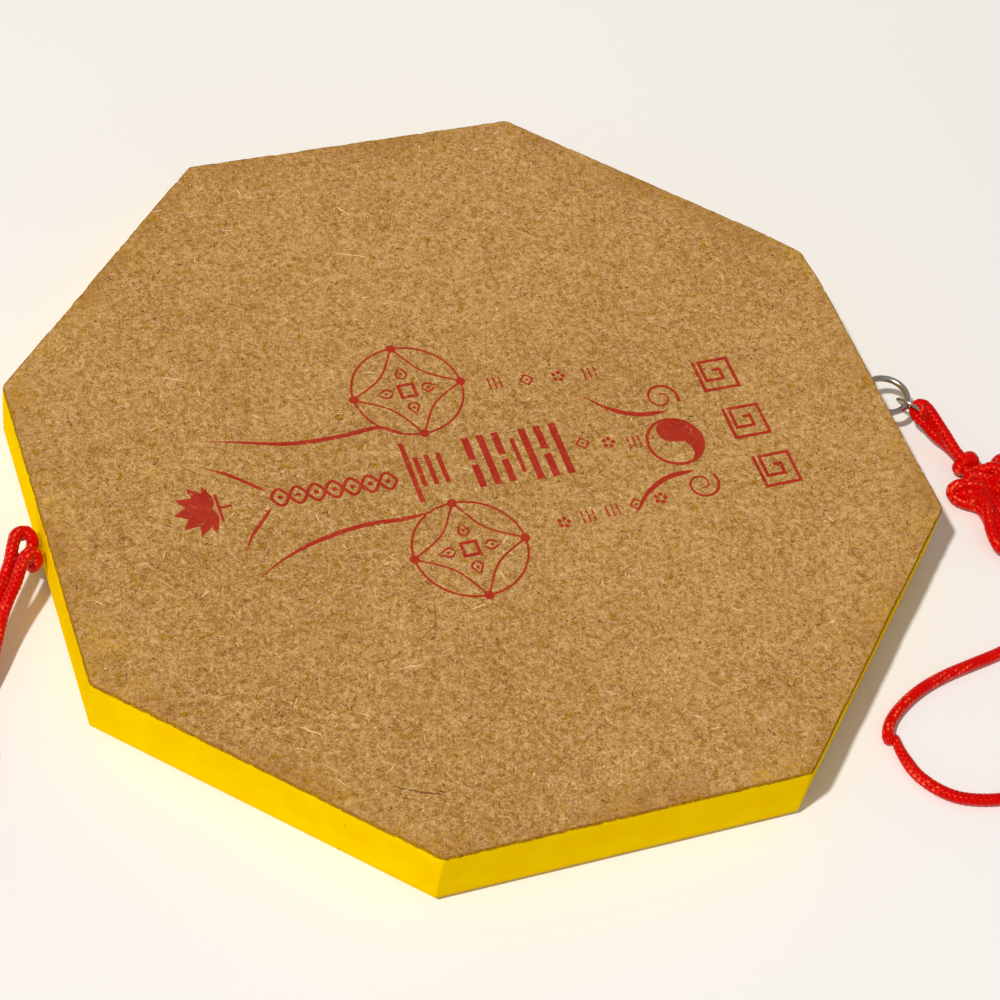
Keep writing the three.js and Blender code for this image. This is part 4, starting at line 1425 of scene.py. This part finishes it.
# The larger slivers and scratches: both ends and the width
SLIVERS = (
    ((-9.9, 79.4), (-7.3, 76.2), 0.45),
    ((-64.5, 36.1), (-59.9, 33.8), 0.50),
    ((-14.3, 64.8), (-7.6, 62.0), 0.40),
    ((-60.6, -62.4), (-56.8, -65.4), 0.45),
    ((-36.4, -53.5), (-30.6, -53.6), 0.40),
    ((-53.8, 86.9), (-51.3, 87.1), 0.40),
    ((-35.3, 78.6), (-33.3, 76.9), 0.35),
    ((-7.5, 47.8), (-3.6, 46.0), 0.30),
    ((-16.4, -42.6), (-12.5, -41.9), 0.35),
    ((4.1, -69.1), (7.1, -71.0), 0.35),
)
SCRATCHES = (
    ((-46.4, -80.8), (-42.7, -82.8), 0.35),
    ((-43.1, -82.7), (-37.0, -85.5), 0.45),
    ((-23.2, -38.2), (-25.1, -45.9), 0.20),
    ((-29.5, -47.5), (-24.8, -44.3), 0.20),
    ((67.8, 31.5), (72.7, 33.1), 0.20),
    ((47.8, 76.9), (55.9, 69.6), 0.18),
)
# Widths along a large and a small fibre, as shares, and the span of a small one's width
LARGE_FIBRE = np.array([0.2, 0.8, 0.5, 1.0, 0.7, 1.0, 0.5, 0.8, 0.2])
SMALL_FIBRE = np.array([0.25, 0.7, 1.0, 0.9, 1.0, 0.6, 0.2])
FIBRE_WIDTHS = (0.14, 0.34)
# Small fibres stay this far inside the flats, and lie closer over each other than ink
FIBRE_MARGIN = 3.0
FIBRE_SINK = 0.00008


def fibre_spot(chance):
    """A random point of the back that isn't near its edge."""
    while True:
        x, y = chance.uniform(-APOTHEM, APOTHEM), chance.uniform(-APOTHEM, APOTHEM)
        reach = max(abs(x * math.cos(t) + y * math.sin(t)) for t in QUARTERS)
        if reach < APOTHEM - FIBRE_MARGIN:
            return x, y


def back_fibres():
    """Slivers and specks that the pressed board shows at its face."""
    chance = random.Random(23)
    for name, material, large, count, shortest, longest in (
        ("back_fibres_pale", PALE, SLIVERS, 420, 0.6, 2.8),
        ("back_fibres_dark", DARK, SCRATCHES, 760, 0.4, 1.8),
    ):
        art = Print(THICKNESS + 0.008)
        for (x0, y0), (x1, y1), wide in large:
            line = []
            for i in range(9):
                sway = chance.uniform(-0.12, 0.12)
                line.append((between(x0, x1, i / 8) + sway, between(y0, y1, i / 8) + sway))
            art.stroke(line, wide * LARGE_FIBRE)
        for _ in range(count):
            x, y = fibre_spot(chance)
            long = shortest + (longest - shortest) * chance.random() ** 2.4
            turn = chance.uniform(0, math.pi)
            sway = chance.uniform(-0.12, 0.12)
            line = []
            for i in range(7):
                share = i / 6 - 0.5
                line.append(on_circle((x, y), long * share, turn + sway * share * 2))
            art.stroke(line, chance.uniform(*FIBRE_WIDTHS) * SMALL_FIBRE)
            art.height -= FIBRE_SINK
        add_piece(name, rows(art.points), art.faces, "root", material, smooth=False)


back_fibres()


# Table and light

FLOOR_HALF = 3.0
FLOOR_HEIGHT = -0.00003
# Key lamp: the way to it, its distance and width in metres, its watts and colour
LAMP_TOWARDS = (-0.583, -0.25, 1.0)
LAMP_AWAY = 5.0
LAMP_SIZE = 0.29
LAMP_POWER = 206.0
LAMP_COLOUR = (1.0, 0.985, 0.965)
SKY_COLOUR = (1.0, 0.93, 0.88, 1.0)
SKY_STRENGTH = 0.335


def floor_material():
    n = Nodes("pale_table")
    spot = n.where()
    base = n.over(seen(241, 239, 235), n.noise(spot, 0.004, 2.0), 0.35, 0.65, (244, 243, 240))
    n.bump(n.noise(spot, 0.5, 2.0), 0.05, 0.0002)
    return n.done(Base_Color=base, Roughness=0.75)


def add_floor():
    corners = ((-1, -1), (1, -1), (1, 1), (-1, 1))
    mesh = bpy.data.meshes.new("table_top")
    mesh.from_pydata([(x * FLOOR_HALF, y * FLOOR_HALF, FLOOR_HEIGHT) for x, y in corners], [],
                     [(0, 1, 2, 3)])
    mesh.materials.append(floor_material())
    placed("table_top", mesh)


def add_light():
    towards = Vector(LAMP_TOWARDS).normalized()
    data = bpy.data.lights.new("key", "AREA")
    data.shape = "DISK"
    data.size = LAMP_SIZE
    data.energy = LAMP_POWER
    data.color = LAMP_COLOUR
    key = placed("key", data)
    key.location = towards * LAMP_AWAY
    key.rotation_mode = "QUATERNION"
    key.rotation_quaternion = towards.to_track_quat("Z", "Y")
    world = bpy.data.worlds.new("studio")
    world.use_nodes = True
    bpy.context.scene.world = world
    background = world.node_tree.nodes["Background"]
    background.inputs[0].default_value = SKY_COLOUR
    background.inputs[1].default_value = SKY_STRENGTH


add_floor()
add_light()
bpy.context.scene.view_settings.view_transform = "Standard"
